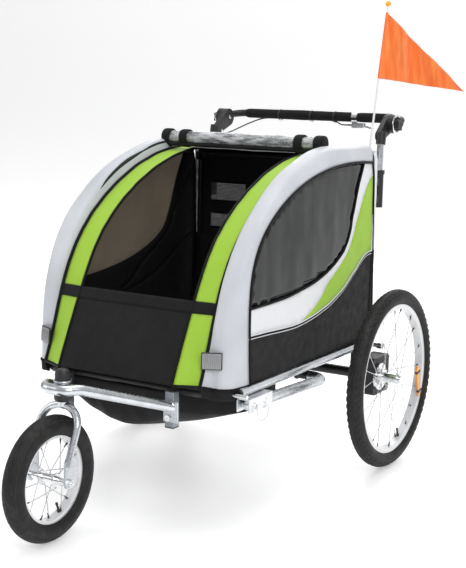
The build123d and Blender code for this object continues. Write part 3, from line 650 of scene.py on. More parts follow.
def line(points, spacing=0.012):
    """A smooth line through points of a plane, in short even runs."""
    coarse = along([Vector(p) for p in points], 200)
    length = sum((b - a).length for a, b in zip(coarse, coarse[1:]))
    return [tuple(p) for p in along([Vector(p) for p in points], max(3, round(length / spacing)))]


SEAM = line(BAND_SEAM)
REAR = line(REAR_EDGE)
LOW = line(WINDOW_LOW)
TOP = line(BLACK_TOP)
UP = line(GREEN_UP)


def nearest(points, target):
    return min(range(len(points)), key=lambda i: (Vector(points[i]) - Vector(target)).length)


def clean(points):
    """The outline without points that all but meet."""
    made = []
    for p in points:
        if not made or (Vector(p) - Vector(made[-1])).length > 0.003:
            made.append(p)
    if (Vector(made[0]) - Vector(made[-1])).length < 0.003:
        made.pop()
    return made


seam_window = nearest(SEAM, LOW[0])
seam_roof = nearest(SEAM, LOW[-1])
seam_black = nearest(SEAM, TOP[0])
rear_green = nearest(REAR, UP[-1])
rear_black = nearest(REAR, TOP[-1])
tip = nearest(TOP, UP[0])
REGIONS = {
    "window": (FILM, "tinted_film", LOW + SEAM[seam_window + 1 : seam_roof][::-1]),
    "side_white": (
        WHITE,
        "silver_fabric",
        TOP[: tip + 1] + UP[1:] + REAR[:rear_green][::-1] + SEAM[seam_roof + 1 : -1][::-1] + LOW[::-1]
        + SEAM[seam_black + 1 : seam_window][::-1],
    ),
    "side_green": (
        GREEN, "green_fabric", UP + REAR[rear_green + 1 : rear_black] + TOP[tip + 1 :][::-1]
    ),
    "side_black": (
        BLACK,
        "black_fabric",
        TOP + REAR[rear_black + 1 :] + line([REAR[-1], (-0.25, 0.335), SEAM[0]])[1:-1] + SEAM[
            :seam_black
        ],
    ),
}

for side, sign in SIDES.items():
    for region, (paint, slot, outline) in REGIONS.items():
        flat_points, triangles = fill(clean(outline), 0.016)
        panel = Shape()
        panel.add([side_point(p[0], p[1]) for p in flat_points], triangles)
        if sign < 0:
            panel.points = [Vector((-p.x, p.y, p.z)) for p in panel.points]
        owner = {"side_black": f"side_panel_{side}", "window": "windows"}.get(region)
        replaced = [owner] if owner and not (region == "window" and sign < 0) else []
        inner_side = MESH if region == "window" else LINING
        made = panel.make(
            f"{region}_{side}", paint, "chassis", replaced, slot, 0.0012, angle=70, lining=inner_side
        )
        squashed(made)


def side_line(points, radius, out):
    """A cord of piping on the side panel."""
    shape = Shape()
    shape.tube([side_point(y, z, out) for y, z in points], radius, 8)
    return shape


for name, points, radius, out, paint in (
    ("piping_seam", SEAM + REAR, 0.0034, 0.001, PIPING),
    ("piping_window", LOW, 0.0030, 0.001, PIPING),
    ("piping_hem", [SEAM[0], (-0.45, 0.333), (-0.2, 0.334), REAR[-1]], 0.0028, 0.001, PIPING),
    # The two white cords beside the black trim cord are painted highlights, not white cloth.
    ("piping_painted_highlight", [(y, z - 0.001) for y, z in TOP], 0.0016, 0.0006, WHITE),
    ("piping_low", [(y, z - 0.006) for y, z in TOP], 0.0013, 0.0006, PIPING),
    ("piping_glint", [(y - 0.002, z - 0.009) for y, z in TOP], 0.0012, 0.0006, WHITE),
):
    shape = side_line([tuple(p) for p in points], radius, out).mirrored()
    squashed(
        shape.make(name, paint, "chassis", slot="black_fabric" if paint == PIPING else "silver_fabric")
    )

# ---------------------------------------------------------------- cover: bands over the hoops

BAND_ROWS = 110
BAND_ACROSS = 17
CREST = 0.0127  # from the middle of a hoop tube to the cloth over it


def rounded_line(points, radius):
    """Straight runs joined by arcs, as many short runs."""
    points = [Vector(p) for p in points]
    made = [points[0]]
    for a, b, c in zip(points, points[1:], points[2:]):
        before, after = (b - a).normalized(), (c - b).normalized()
        turn = before.angle(after)
        reach = radius * math.tan(turn / 2)
        start, end = b - before * reach, b + after * reach
        for i in range(13):
            u = i / 12
            made.append((start * (1 - u) + b * u) * (1 - u) + (b * (1 - u) + end * u) * u)
    return made + [points[-1]]


hoop_line = rounded_line(HOOP, 0.40)
crest_line = []
for i, p in enumerate(hoop_line):
    run = hoop_line[min(i + 1, len(hoop_line) - 1)] - hoop_line[max(i - 1, 0)]
    crest_line.append(p + Vector((-run.y, run.x)).normalized() * CREST)
crest_line = spread(crest_line, 400)


def stripe_point(k, x, lift=0.0):
    """A point of the left green stripe, or of the panel beside it."""
    y, z = spline(STRIPE_LINE, k * (len(STRIPE_LINE) - 1))
    bow = 0.026 * smooth_step(x, STRIPE_X[0], STRIPE_X[1] + 0.002) * (1 - smooth_step(z, 0.345, 0.60))
    pleat = 0.0004 * math.sin(k * 95 + 3 * ripple(x, k, 0, 9)) * smooth_step(k, 0.3, 0.5)
    pleat += 0.0006 * ripple(x * 20, k * 30, 0, 1.0, 12)
    return at(x, y + bow, z) + Vector((0, -0.6, 0.8)) * (pleat + lift)


def band_point(k, v, rise=0.0):
    """A point of the left silver band.

    k goes from its foot to the rear, v from its inner edge to the side seam.
    """
    t = k * (len(BAND_SEAM) - 1)
    inner = stripe_point((1.5 * t if t < 2 else t + 1) / (len(STRIPE_LINE) - 1), STRIPE_X[1])
    inner = Vector((BAND_X, inner.y, inner.z))
    middle, seam = (Vector(spline(points, t)) for points in (BAND_MIDDLE, BAND_SEAM))
    crest = min(crest_line, key=lambda p: (p - middle).length)
    seam = at(SIDE_X, *seam)
    top = at(0.252, *crest)
    outer = at(0.272, *crest)
    shoulder = outer.lerp(seam, 0.35) + (outer - inner.lerp(seam, 0.5)).normalized() * 0.006
    shoulder.x = 0.2925
    way = (top - inner.lerp(seam, 0.45)).normalized()
    step = inner.lerp(top, 0.66) + way * 0.0008
    step.x = 0.2428
    point = spline([inner, step, top, outer, shoulder, seam], 5 * v)
    foot = 1 - smooth_step(k, 0.0, 0.3)
    crease = 0.0011 * ripple(v * 2.5, k * 16, 0, 1.0, 3) * (1 - foot)
    crease += 0.0060 * foot * abs(ripple(v * 6, k * 4, 0, 1.0, 9))
    return point + way * (crease * math.sin(math.pi * v) + rise)


rows = [
    [band_point(i / (BAND_ROWS - 1), j / (BAND_ACROSS - 1)) for j in range(BAND_ACROSS)]
    for i in range(BAND_ROWS)
]
bands = Shape().grid(rows).mirrored()
bands = bands.make(
    "silver_band_cloth", SILVER, "chassis", ["silver_bands"], "silver_fabric", 0.0012, angle=70,
    lining=LINING
)
squashed(bands)


STRIPE_ROWS = 120
stripe = Shape()
for low, high in ((0.0, 0.2100), (0.2395, 1.0)):
    ks = [low + (high - low) * i / (STRIPE_ROWS - 1) for i in range(STRIPE_ROWS)]
    widths = [STRIPE_X[0] + (STRIPE_X[1] - STRIPE_X[0]) * j / 6 for j in range(7)]
    stripe.grid([[stripe_point(k, x) for x in widths] for k in ks])
stripe.mirrored()
stripe = stripe.make(
    "green_stripe_cloth", GREEN, "chassis", ["green_stripes"], "green_fabric", 0.0012, angle=70,
    lining=LINING
)
squashed(stripe)

trim = Shape()
ks = [i / 140 for i in range(141)]
trim.tube([stripe_point(k, STRIPE_X[0] - 0.001, 0.0005) for k in ks], 0.0036, 8)
trim.tube([stripe_point(k, STRIPE_X[1] + 0.0025, 0.0018) for k in ks], 0.0042, 10)
foot = [band_point(0, v / 12) for v in range(13)]
trim.tube([stripe_point(0, STRIPE_X[0])] + [stripe_point(0, STRIPE_X[1])] + foot[1:], 0.0042, 8)
trim.mirrored()
squashed(trim.make("band_piping", PIPING, "chassis", slot="black_fabric"))

# A black wrap at the foot of each front corner, down over the hoop's bracket
wraps = Shape()
rows = []
for i in range(5):
    drop = i / 4
    row = []
    for j in range(15):
        p = band_point(0, j / 14, 0.002)
        y = p.y + 0.006 * drop * (1 - j / 14) + 0.001 * ripple(j, i, 0, 2.0)
        row.append(Vector((p.x, y, p.z - 0.026 * drop)))
    rows.append(row)
wraps.grid(rows)
wraps.mirrored()
squashed(wraps.make("corner_wraps", BLACK, "chassis", slot="black_fabric", thick=0.0012, angle=60))

# Front panel, and the black band across the front at the top of it
PANEL_TOP = 0.2130
panel = Shape()
ks = [PANEL_TOP * i / 30 for i in range(31)]
rows = []
for k in ks:
    row = []
    for j in range(41):
        x = -STRIPE_X[0] + 2 * STRIPE_X[0] * j / 40
        point = stripe_point(k, abs(x))
        hang = math.sin(math.pi * (x + STRIPE_X[0]) / (2 * STRIPE_X[0])) * math.sin(
            math.pi * k / PANEL_TOP
        )
        row.append(Vector((x, point.y - 0.004 * hang + 0.0016 * ripple(x, k, 0, 11) * hang, point.z)))
    rows.append(row)
panel.grid(rows)
panel = panel.make("front_panel_cloth", BLACK, "chassis", ["front_panel"], "black_fabric", 0.0012, angle=70)
squashed(panel)

band = Shape()
rows = []
for k in (0.2075, 0.2150, 0.2245, 0.2340, 0.2415):
    half = [stripe_point(k, 0.2345 * j / 24, 0.0016) for j in range(25)]
    rows.append([Vector((-p.x, p.y, p.z)) for p in half[:0:-1]] + half)
band.grid(rows)
squashed(band.make("front_seam_band", WEBBING, "chassis", slot="black_fabric", thick=0.0016, angle=70))

# Roof between the stripes, behind the rolled cover
roof = Shape()
rows = []
for i in range(26):
    y = -0.165 + 0.250 * i / 25
    row = []
    for j in range(37):
        x = -STRIPE_X[0] + 2 * STRIPE_X[0] * j / 36
        sag = 0.007 * math.cos(math.pi * x / (2 * STRIPE_X[0])) * math.sin(math.pi * i / 25)
        row.append(at(x, y, 0.871 - sag + 0.0015 * ripple(x, y, 0, 14)))
    rows.append(row)
roof.grid(rows)
squashed(
    roof.make("roof_cloth", BLACK, "chassis", ["roof_panel"], "black_fabric", thick=0.0014, angle=70)
)

# Rear: a white sleeve over each upright, dark below, and the panel with its mesh vents
CORNER_TOP, CORNER_LOW, CORNER_FOOT = 0.872, 0.592, 0.372
for name, high, low, paint, slot in (
    ("rear_sleeves_white", CORNER_TOP, CORNER_LOW, WHITE, "silver_fabric"),
    ("rear_sleeves_black", CORNER_LOW, CORNER_FOOT, BLACK, "black_fabric"),
):
    sleeve = Shape()
    rows = []
    for i in range(40):
        z = high + (low - high) * i / 39
        round_top = 0.010 * smooth_step(z, 0.84, 0.872) ** 2
        soft = 0.0012 * ripple(0, z, z, 30)
        section = [
            (0.3010, 0.074), (0.3015, 0.088), (0.2985, 0.0985), (0.289, 0.1035), (0.276, 0.1040),
            (0.262, 0.1000)
        ]
        points = along([Vector(p) for p in section], 14)
        rows.append([at(p[0] + soft, p[1] - round_top, z) for p in points])
    sleeve.grid(rows)
    sleeve.mirrored()
    sleeve.make(name, paint, "rear_frame", slot=slot, thick=0.0012, angle=70)

REAR_Y = 0.0615
VENTS = [(0.172, 0.728, 0.126, 0.057), (0.172, 0.641, 0.126, 0.043)]
HOLES = [(s * x, z, w / 2, h / 2) for x, z, w, h in VENTS for s in (1, -1)]


def rear_point(x, z, out=0.0):
    """A point of the rear panel, which hangs slightly hollow."""
    hollow = math.cos(math.pi * x / 0.56) * math.sin(math.pi * (z - 0.34) / 0.53)
    return at(x, REAR_Y + 0.004 * hollow + 0.0013 * ripple(x, 0, z, 12) + out, z)


mesh_edges = {round(s * (0.172 + d), 4) for s in (1, -1) for d in (-0.063, 0.063)}
xs = sorted({round(-0.27 + 0.54 * i / 36, 4) for i in range(37)} | mesh_edges)
zs = sorted({round(0.342 + 0.526 * i / 36, 4) for i in range(37)} | {0.6995, 0.7565, 0.6195, 0.6625})
back = Shape()
screen = Shape()
for low_z, high_z in zip(zs, zs[1:]):
    for low_x, high_x in zip(xs, xs[1:]):
        mid_x, mid_z = (low_x + high_x) / 2, (low_z + high_z) / 2
        in_vent = any(abs(mid_x - x) < w and abs(mid_z - z) < h for x, z, w, h in HOLES)
        corners = [(low_x, low_z), (high_x, low_z), (high_x, high_z), (low_x, high_z)]
        (screen if in_vent else back).add([rear_point(x, z) for x, z in corners], [(0, 1, 2, 3)])
squashed(
    back.make("rear_cloth", BLACK, "chassis", ["rear_panel"], "black_fabric", thick=0.0014, angle=70)
)
squashed(screen.make("rear_screens", SCREEN, "chassis", slot="black_fabric", thick=0.0006, angle=70))
frames = Shape()
for x, z, w, h in HOLES:
    ring = [(x - w, z - h), (x + w, z - h), (x + w, z + h), (x - w, z + h)]
    path = []
    for a, b in zip(ring, ring[1:] + ring[:1]):
        path += [
            rear_point(a[0] + (b[0] - a[0]) * i / 8, a[1] + (b[1] - a[1]) * i / 8, -0.001)
            for i in range(8)
        ]
    frames.tube(path, 0.0026, 8, closed=True, normal=(0, 1, 0))
squashed(frames.make("vent_piping", PIPING, "chassis", slot="black_fabric"))

# ---------------------------------------------------------------- rolled clear cover

ROLL_Y, ROLL_Z = -0.150, 0.899
ROLL_HALF = 0.232


def rolled(name, paint, centre, core, outside, turns, crush, low, replaces):
    """A sheet rolled up across the trailer; low is its height as a share of its depth."""
    roll = Shape()
    rows = []
    for i in range(61):
        x = -ROLL_HALF + 2 * ROLL_HALF * i / 60
        row = []
        for j in range(20 * turns + 1):
            share = j / (20 * turns)
            turn = 2 * math.pi * turns * share + 0.6
            wrinkle = 1 + crush * ripple(x * 14, math.cos(turn), math.sin(turn), 1.0, 4)
            r = (core + (outside - core) * share) * wrinkle
            row.append(at(x, centre[0] + r * math.cos(turn), centre[1] + low * r * math.sin(turn)))
        rows.append(row)
    roll.grid(rows)
    made = roll.make(
        name, paint, "hoop_frame", replaces, "clear_film" if paint == VINYL else "black_fabric",
        angle=70
    )


rolled("clear_cover_roll", VINYL, (ROLL_Y, ROLL_Z), 0.0085, 0.0210, 7, 0.06, 0.93, ["rolled_cover"])
rolled("mesh_cover_roll", BLACK, (ROLL_Y - 0.008, ROLL_Z - 0.0185), 0.0030, 0.0125, 4, 0.16, 0.62, [])

straps = Shape()
for x, half in ((-0.185, 0.013), (0.185, 0.013), (-0.2445, 0.0125), (0.2445, 0.0125)):
    rows = []
    for i in range(7):
        step = -half + 2 * half * i / 6
        edge = 0.0012 if i in (0, 6) else 0.0
        ring = []
        for j in range(40):
            turn = 2 * math.pi * j / 40
            r = 0.0228 - edge + 0.0006 * ripple(x * 9, math.cos(turn), math.sin(turn), 2.0)
            sag = 0.006 * max(0.0, -math.sin(turn))
            ring.append(
                at(x + step, ROLL_Y + r * math.cos(turn), ROLL_Z + 0.96 * r * math.sin(turn) - sag)
            )
        rows.append(ring)
    straps.grid(rows, round_rows=True)
    if abs(x) > 0.2:
        out = 1 if x > 0 else -1
        caps = []
        for r, lift in ((0.0215, 0.0), (0.018, 0.0015), (0.010, 0.0020), (0.0, 0.0022)):
            ring = [2 * math.pi * j / 40 for j in range(40)]
            caps.append(
                [
                    at(
                        x + out * (half + lift), ROLL_Y + r * math.cos(a),
                        ROLL_Z + 0.95 * r * math.sin(a)
                    )
                    for a in ring
                ]
            )
        straps.grid(caps, round_rows=True)
straps.make(
    "roll_bands", WEBBING, "hoop_frame", ["roll_straps"], "black_fabric", thick=0.0012, angle=50
)

# ---------------------------------------------------------------- footwell bag and floor

TUB = [(-0.706, 0.318), (-0.707, 0.262), (-0.700, 0.232), (-0.672, 0.213), (-0.560, 0.204), (-0.470, 0.202),
       (-0.425, 0.208), (-0.409, 0.240), (-0.409, 0.318)]
BAG_HALF = 0.269


def bag_point(x, y, z):
    """A point of the bag: narrower in front than behind, and lowest along its middle."""
    front = smooth_step(-y, 0.54, 0.71)
    narrow = 1 - 0.44 * front * front
    depth = 1 - smooth_step(z, 0.20, 0.32)
    lift = 0.052 * (abs(x) / BAG_HALF) ** 1.7 * depth
    fold = 0.0035 * ripple(x, y, z, 17, 2)
    return at(
        x * narrow, y + fold,
        z + lift - 0.004 * depth * math.cos(x * 9) + 0.0035 * ripple(x, y, z, 13, 6) * depth
    )


bag = Shape()
rows = []
for i in range(49):
    x = BAG_HALF * (i - 24) / 24
    rows.append([bag_point(x, *p) for p in along([Vector(q) for q in TUB], 56)])
bag.grid(rows)
for row in (rows[0], rows[-1]):
    rim = [p.copy() for p in row]
    for p in rim:
        p.z = 0.318
    bag.grid([[p.lerp(q, s / 8) for p, q in zip(row, rim)] for s in range(9)])
bag.make("footwell_bag", BLACK, "chassis", ["footwell"], "black_fabric", thick=0.0014, angle=60)

floor_cloth = Shape()
rows = []
for i in range(21):
    y = -0.384 + 0.43 * i / 20
    waves = [0.3235 + 0.0012 * ripple(j * 0.3, y * 9, 0, 1.0) for j in range(21)]
    rows.append([at(-0.286 + 0.572 * j / 20, y, z) for j, z in enumerate(waves)])
floor_cloth.grid(rows)
floor_cloth.make("floor_cloth", LINING, "chassis", slot="black_fabric", thick=0.0018, angle=70)

# ---------------------------------------------------------------- seat and harness

SEAT = [
    (-0.016, 0.602), (-0.026, 0.550), (-0.036, 0.490), (-0.052, 0.432), (-0.085, 0.408),
    (-0.180, 0.418), (-0.330, 0.440)
]
SEAT_X = 0.226


def seat_point(k, x, lift):
    """A point above the sling of the seat: k from the top of the back to the front of the bottom."""
    t = k * (len(SEAT) - 1)
    here = spline(SEAT, t)
    way = (spline(SEAT, min(t + 0.05, len(SEAT) - 1)) - spline(SEAT, max(t - 0.05, 0))).normalized()
    y, z = here[0] + way[1] * lift, here[1] - way[0] * lift
    return at(x, y, z)


pad = Shape()
for top in (True, False):
    rows = []
    for i in range(57):
        k = i / 56
        row = []
        for j in range(49):
            x = -SEAT_X + 2 * SEAT_X * j / 48
            edge = min(1.0, 12 * (1 - abs(x) / SEAT_X)) * min(1.0, 14 * min(k, 1 - k) + 0.02)
            seam = min(abs(x), abs(abs(x) - 0.150) + 0.004) / 0.012
            channel = abs((k * 9) % 1 - 0.5)
            crown = math.sqrt(max(edge, 0)) * (0.55 + 0.45 * min(1, seam)) * (
                1 - 0.35 * smooth_step(channel, 0.42, 0.5)
            )
            row.append(seat_point(k, x, (0.008 * crown + 0.001) if top else (-0.004 * edge)))
        rows.append(row)
    pad.grid(rows)
seat = pad.make("seat_pad", LINING, "chassis", ["seat"], "black_fabric", levels=1, angle=70)
squashed(seat)

harness = Shape()
buckles = Shape()


def strap(points, width, across):
    """A flat strap with rounded edges along a line of points."""
    path = along([Vector(p) for p in points], 26)
    harness.tube(path, width / 2, 10, squeeze=0.09, normal=Vector(across))


for centre in (-0.115, 0.115):
    for offset in (-0.05, 0.05):
        x = centre + offset
        ends = [seat_point(k, x * (1 - 0.15 * k), 0.0125) for k in (0.06, 0.14, 0.24, 0.34, 0.44)]
        strap(ends, 0.024, (0, -1, 0.2))
        buckles.box(
            seat_point(0.25, x * 0.97, 0.016), (0.032, 0.006, 0.022), Matrix.Rotation(-0.12, 3, "X")
        )
    strap(
        [
            seat_point(0.66, centre + d, 0.0125 + 0.01 * (1 - abs(d) / 0.09))
            for d in (-0.09, -0.045, 0, 0.045, 0.09)
        ],
        0.024, (0, 0, 1)
    )
    strap([seat_point(k, centre, 0.0135) for k in (0.70, 0.80, 0.90, 0.98)], 0.024, (0, 0, 1))
    buckles.box(seat_point(0.67, centre, 0.028), (0.044, 0.036, 0.010))
squashed(harness.make("harness_webbing", WEBBING, "chassis", slot="black_fabric", angle=60))
squashed(buckles.make("harness_buckles", PLASTIC, "chassis", slot="black_plastic", bevel=0.0015))

# ---------------------------------------------------------------- reflectors on the cover

lens = Shape()
frame_lens = Shape()
LENS_TURN = Matrix.Rotation(0.47, 3, "Z") @ Matrix.Rotation(-0.06, 3, "X")
LENS_PLACE = at(0.2535, -0.6915, 0.4075)
lens.box(LENS_PLACE, (0.046, 0.004, 0.037), LENS_TURN)
frame_lens.box(LENS_PLACE + LENS_TURN @ Vector((0, 0.0014, 0)), (0.0510, 0.0045, 0.0420), LENS_TURN)
for i in range(10):
    lens.box(
        LENS_PLACE + LENS_TURN @ Vector((-0.0198 + 0.0044 * i, -0.0022, 0)), (0.0022, 0.0018, 0.033),
        LENS_TURN
    )
lens.mirrored()
frame_lens.mirrored()
lens = lens.make("front_lenses", CLEAR_LENS, "chassis", ["front_reflectors"], "grey_reflector", bevel=0.0006)
squashed(lens)
squashed(frame_lens.make("front_lens_frames", PLASTIC, "chassis", slot="black_plastic", bevel=0.002))

# ---------------------------------------------------------------- wheels


# Each row of a tread: its low and high edge in degrees round the section, slant, share filled and start
TRAIL_TREAD = [
    (4, 19, 0.55, 0.62, 0.0), (-19, -4, -0.55, 0.62, 0.5), (23, 41, -0.5, 0.55, 0.3),
    (-41, -23, 0.5, 0.55, 0.8), (46, 66, 0.35, 0.45, 0.0), (-66, -46, -0.35, 0.45, 0.5),
]
ROAD_TREAD = [
    (1.5, 24, 0.5, 0.93, 0.0), (-24, -1.5, -0.5, 0.93, 0.5), (25.5, 52, 0.9, 0.92, 0.3),
    (-52, -25.5, -0.9, 0.92, 0.8),
]


def make_tyre(name, body, centre, outer, section, rows_of_blocks, tread):
    """A tyre with a ribbed side wall and a tread of slanted blocks."""
    base = outer - 0.0016
    ring = base - section
    tyre = Shape()
    outline = []
    for i in range(33):
        turn = math.radians(-142 + 284 * i / 32)
        side = abs(math.degrees(turn))
        rib = 0.0007 if 84 < side < 90 or 104 < side < 108 else 0.0
        outline.append((ring + (section + rib) * math.cos(turn), (section + rib) * math.sin(turn)))
    for i in range(12):
        turn = math.radians(142 - 284 * i / 11)
        outline.append((ring + (section - 0.003) * math.cos(turn), (section - 0.003) * math.sin(turn)))
    tyre.lathe(outline, centre, (1, 0, 0), 120, ring=True)

    def on_tread(turn, slant, lift):
        r = ring + (section + lift) * math.cos(slant)
        return centre + Vector(
            (math.sin(slant) * (section + lift), r * math.cos(turn), r * math.sin(turn))
        )

    step = 2 * math.pi / rows_of_blocks
    for i in range(rows_of_blocks):
        for low, high, skew, part, shift in tread:
            block = []
            for lift in (-0.0005, 0.0016):
                taper = (0.86 if tread is TRAIL_TREAD else 0.97) if lift > 0 else 1.0
                for a, s in ((-0.5, 0), (0.5, 0), (0.5, 0.5), (0.5, 1), (-0.5, 1), (-0.5, 0.5)):
                    slant = math.radians(low + (high - low) * (0.5 + (s - 0.5) * taper))
                    turn = step * (i + shift + a * part * taper + skew * (s - 0.5))
                    block.append(on_tread(turn, slant, lift))
            sides = [(k, (k + 1) % 6, (k + 1) % 6 + 6, k + 6) for k in range(6)]
            tyre.add(block, sides + [(6, 7, 8, 11), (8, 9, 10, 11)])
    made = tyre.make(f"{name}_rubber", TYRE, body, [name], "tyre", angle=32)
    return made


def make_wheel(side, body, centre, outer, section, rim_r, spokes, blocks, tread):
    """The tyre, spoke nipples and valve of one wheel."""
    make_tyre(f"tyre_{side}", body, centre, outer, section, blocks, tread)
    nipples = Shape()
    inner = rim_r - 0.0165
    for i in range(spokes):
        turn = 2 * math.pi * i / spokes
        out = Vector((0, math.cos(turn), math.sin(turn)))
        lean = Vector((0.003 if i % 2 else -0.003, 0, 0))
        path = [
            centre + lean * (1 + s) + out * (inner - s * 0.012) for s in (-0.15, 0.0, 0.45, 0.5, 1.0)
        ]
        nipples.tube(path, [0.0024, 0.0024, 0.0021, 0.0017, 0.0014], 8)
    nipples.make(f"nipples_{side}", COATED, body, slot="black_steel")
    valve = Shape()
    down = Vector((0, 0.35, -0.94)).normalized()
    path = [centre + down * (inner - s) for s in (-0.002, 0.006, 0.0065, 0.020, 0.0205, 0.026)]
    valve.tube(path, [0.0040, 0.0040, 0.0027, 0.0027, 0.0034, 0.0032], 12)
    valve.make(f"valve_{side}", PLASTIC, body, slot="black_plastic")


for side, sign in SIDES.items():
    centre = at(sign * 0.410, 0, 0.250)
    body = f"rear_wheel_{side}"
    make_wheel(side, body, centre, 0.250, 0.022, 0.2125, 20, 72, TRAIL_TREAD)
    lens = Shape()
    turn = Matrix.Rotation(math.radians(15), 3, "X")
    middle = at(sign * 0.4225, 0.170, 0.208)
    rows = []
    for lift, inset in ((0.0, 0.0), (0.0042, 0.0), (0.0058, 0.0016), (0.0061, 0.0045)):
        ring = []
        for i in range(44):
            a = 2 * math.pi * i / 44
            straight = 0.0400 * (1 if math.sin(a) > 0 else -1)
            r = 0.0085 - inset
            across = Vector((sign * (lift - 0.003), r * math.cos(a), straight + r * math.sin(a)))
            ring.append(middle + turn @ across)
        rows.append(ring)
    lens.grid(rows, round_rows=True)
    lens.faces.append(list(range(44 * 3, 44 * 4)))
    lens.faces.append(list(range(44))[::-1])
    lens.make(f"spoke_lens_{side}", AMBER, body, [f"reflector_{side}"], "orange_reflector", angle=40)
    clips = Shape()
    for z in (-0.030, 0.030):
        clips.box(middle + turn @ Vector((sign * 0.0005, 0, z)), (0.0085, 0.021, 0.006), turn)
    clips.make(f"lens_clips_{side}", PLASTIC, body, slot="black_plastic", bevel=0.001)

make_wheel("front", "front_wheel", at(0, -0.982, 0.150), 0.150, 0.025, 0.1125, 16, 40, ROAD_TREAD)

# ---------------------------------------------------------------- handle, cable and flag

foam = Shape()
for low, high in ((-0.250, 0.119), (0.141, 0.250)):
    outline = [(0.0111, low), (0.0128, low)]
    for i in range(41):
        x = low + (high - low) * i / 40
        swell = 0.0010 * math.exp(-(((x + 0.06) / 0.05) ** 2)) + 0.0004 * ripple(x, 0, 0, 30)
        ends = 0.0012 * (1 - smooth_step(min(x - low, high - x), 0.0, 0.006))
        outline.append((0.0144 + swell - ends, x))
    outline += [(0.0128, high), (0.0111, high)]
    foam.lathe(outline, at(0, 0.297, 0.957), (1, 0, 0), 36, ring=True)
grip = foam.make("foam_sleeve", FOAM, "handlebar", ["foam_grip"], "foam", angle=50)

cable = Shape()
cable_line = [
    at(0.100, 0.297, 0.933), at(0.082, 0.2985, 0.9335), at(0.050, 0.308, 0.943),
    at(0.000, 0.309, 0.944), at(-0.100, 0.309, 0.944), at(-0.190, 0.3075, 0.943),
    at(-0.232, 0.288, 0.928), at(-0.256, 0.263, 0.913), at(-0.268, 0.232, 0.901),
    at(-0.272, 0.205, 0.8965), at(-0.272, 0.176, 0.896),
]
cable.tube(along(cable_line, 90), 0.0021, 10)
housing = cable.make("cable_housing", PLASTIC, None, ["brake_cable"], "black_plastic", angle=60)
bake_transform(housing)

ties = Shape()
for x in (-0.13, -0.02, 0.06):
    outline = [(0.0164, -0.0018), (0.0172, -0.0018), (0.0172, 0.0018), (0.0164, 0.0018)]
    ties.lathe(outline, at(x, 0.2985, 0.9555), (1, 0, 0), 28, ring=True)
ties.make("cable_ties", PLASTIC, "handlebar", slot="black_plastic")

bolts = Shape()
for sign in (1, -1):
    for y, z in ((0.168, 0.905), (0.160, 0.890)):
        bolts.lathe(
            [(0.0, 0.0022), (0.0034, 0.0018), (0.0040, 0.0), (0.0, 0.0)], at(sign * 0.2655, y, z),
            (-sign, 0, 0), 16
        )
    bolts.lathe(
        [(0.0, 0.003), (0.0050, 0.0025), (0.0058, 0.0), (0.0, 0.0)], at(sign * 0.2655, 0.215, 0.945),
        (-sign, 0, 0), 16
    )
bolts.make("elbow_bolts", CHROME, "rear_frame", slot="chrome")

rings = Shape()
for sign in (1, -1):
    outline = [(0.0225, 0.0), (0.0285, 0.0), (0.0288, 0.0015), (0.0270, 0.0028), (0.0225, 0.0028)]
    rings.lathe(outline, at(sign * 0.3000, 0.215, 0.945), (sign, 0, 0), 48, ring=True)
rings.make("tilt_rims", CHROME, "handlebar", slot="chrome")

flag_foot = Vector((0.268, 0.072, 0.705))
flag_top = Vector((0.268, 0.195, 1.280))
pole_way = (flag_top - flag_foot).normalized()
pole = Shape()
pole_points = [at(*(flag_foot + (flag_top - flag_foot) * s)) for s in (0.0, 0.02, 0.5, 0.98, 1.0)]
pole.tube(pole_points, [0.0026, 0.0030, 0.0030, 0.0029, 0.0029], 14)
pole.make("pole_rod", WHITE_PLASTIC, "flag", ["flag_pole"], "white_plastic", angle=50)
ball = Shape()
outline = [
    (0.0079 * math.sin(math.pi * i / 16), -0.0079 * math.cos(math.pi * i / 16) * 1.05)
    for i in range(17)
]
ball.lathe(outline, at(*flag_top) + Vector((0, 0, 0.004)), pole_way, 28)
ball.make("pole_ball", BALL, "flag", slot="orange_flag", angle=60)

HOIST_LOW = at(0.268, 0.151, 1.074)
HOIST_HIGH = at(0.268, 0.1905, 1.259)
FLAG_TIP = at(0.4235, 0.4195, 1.0405)
away = (FLAG_TIP - HOIST_LOW).cross(HOIST_HIGH - HOIST_LOW).normalized()
banner = Shape()
rows = []
for i in range(49):
    u = i / 48
    row = []
    for j in range(21):
        v = j / 20
        edge = HOIST_LOW.lerp(HOIST_HIGH, v)
        point = edge.lerp(FLAG_TIP.lerp(HOIST_LOW.lerp(FLAG_TIP, 0.999), 1 - v), u)
        free = smooth_step(u, 0.0, 0.12)
        billow = 0.0045 * math.sin(9.5 * u + 1.2 * v) * free + 0.0016 * math.sin(31 * u + 2 * v) * free
        row.append(point + away * billow * (1 - 0.5 * u))
    rows.append(row)
banner.grid(rows)
flag = banner.make("flag_cloth", FLAG, "flag", ["flag"], "orange_flag", thick=0.0005, angle=80)
hem = Shape()
hem_line = [HOIST_LOW.lerp(HOIST_HIGH, i / 12) for i in range(13)]
hem.tube(hem_line, 0.0040, 14)
hem.make("flag_hem", FLAG, "flag", slot="orange_flag")

# ---------------------------------------------------------------- head and small parts of the frame

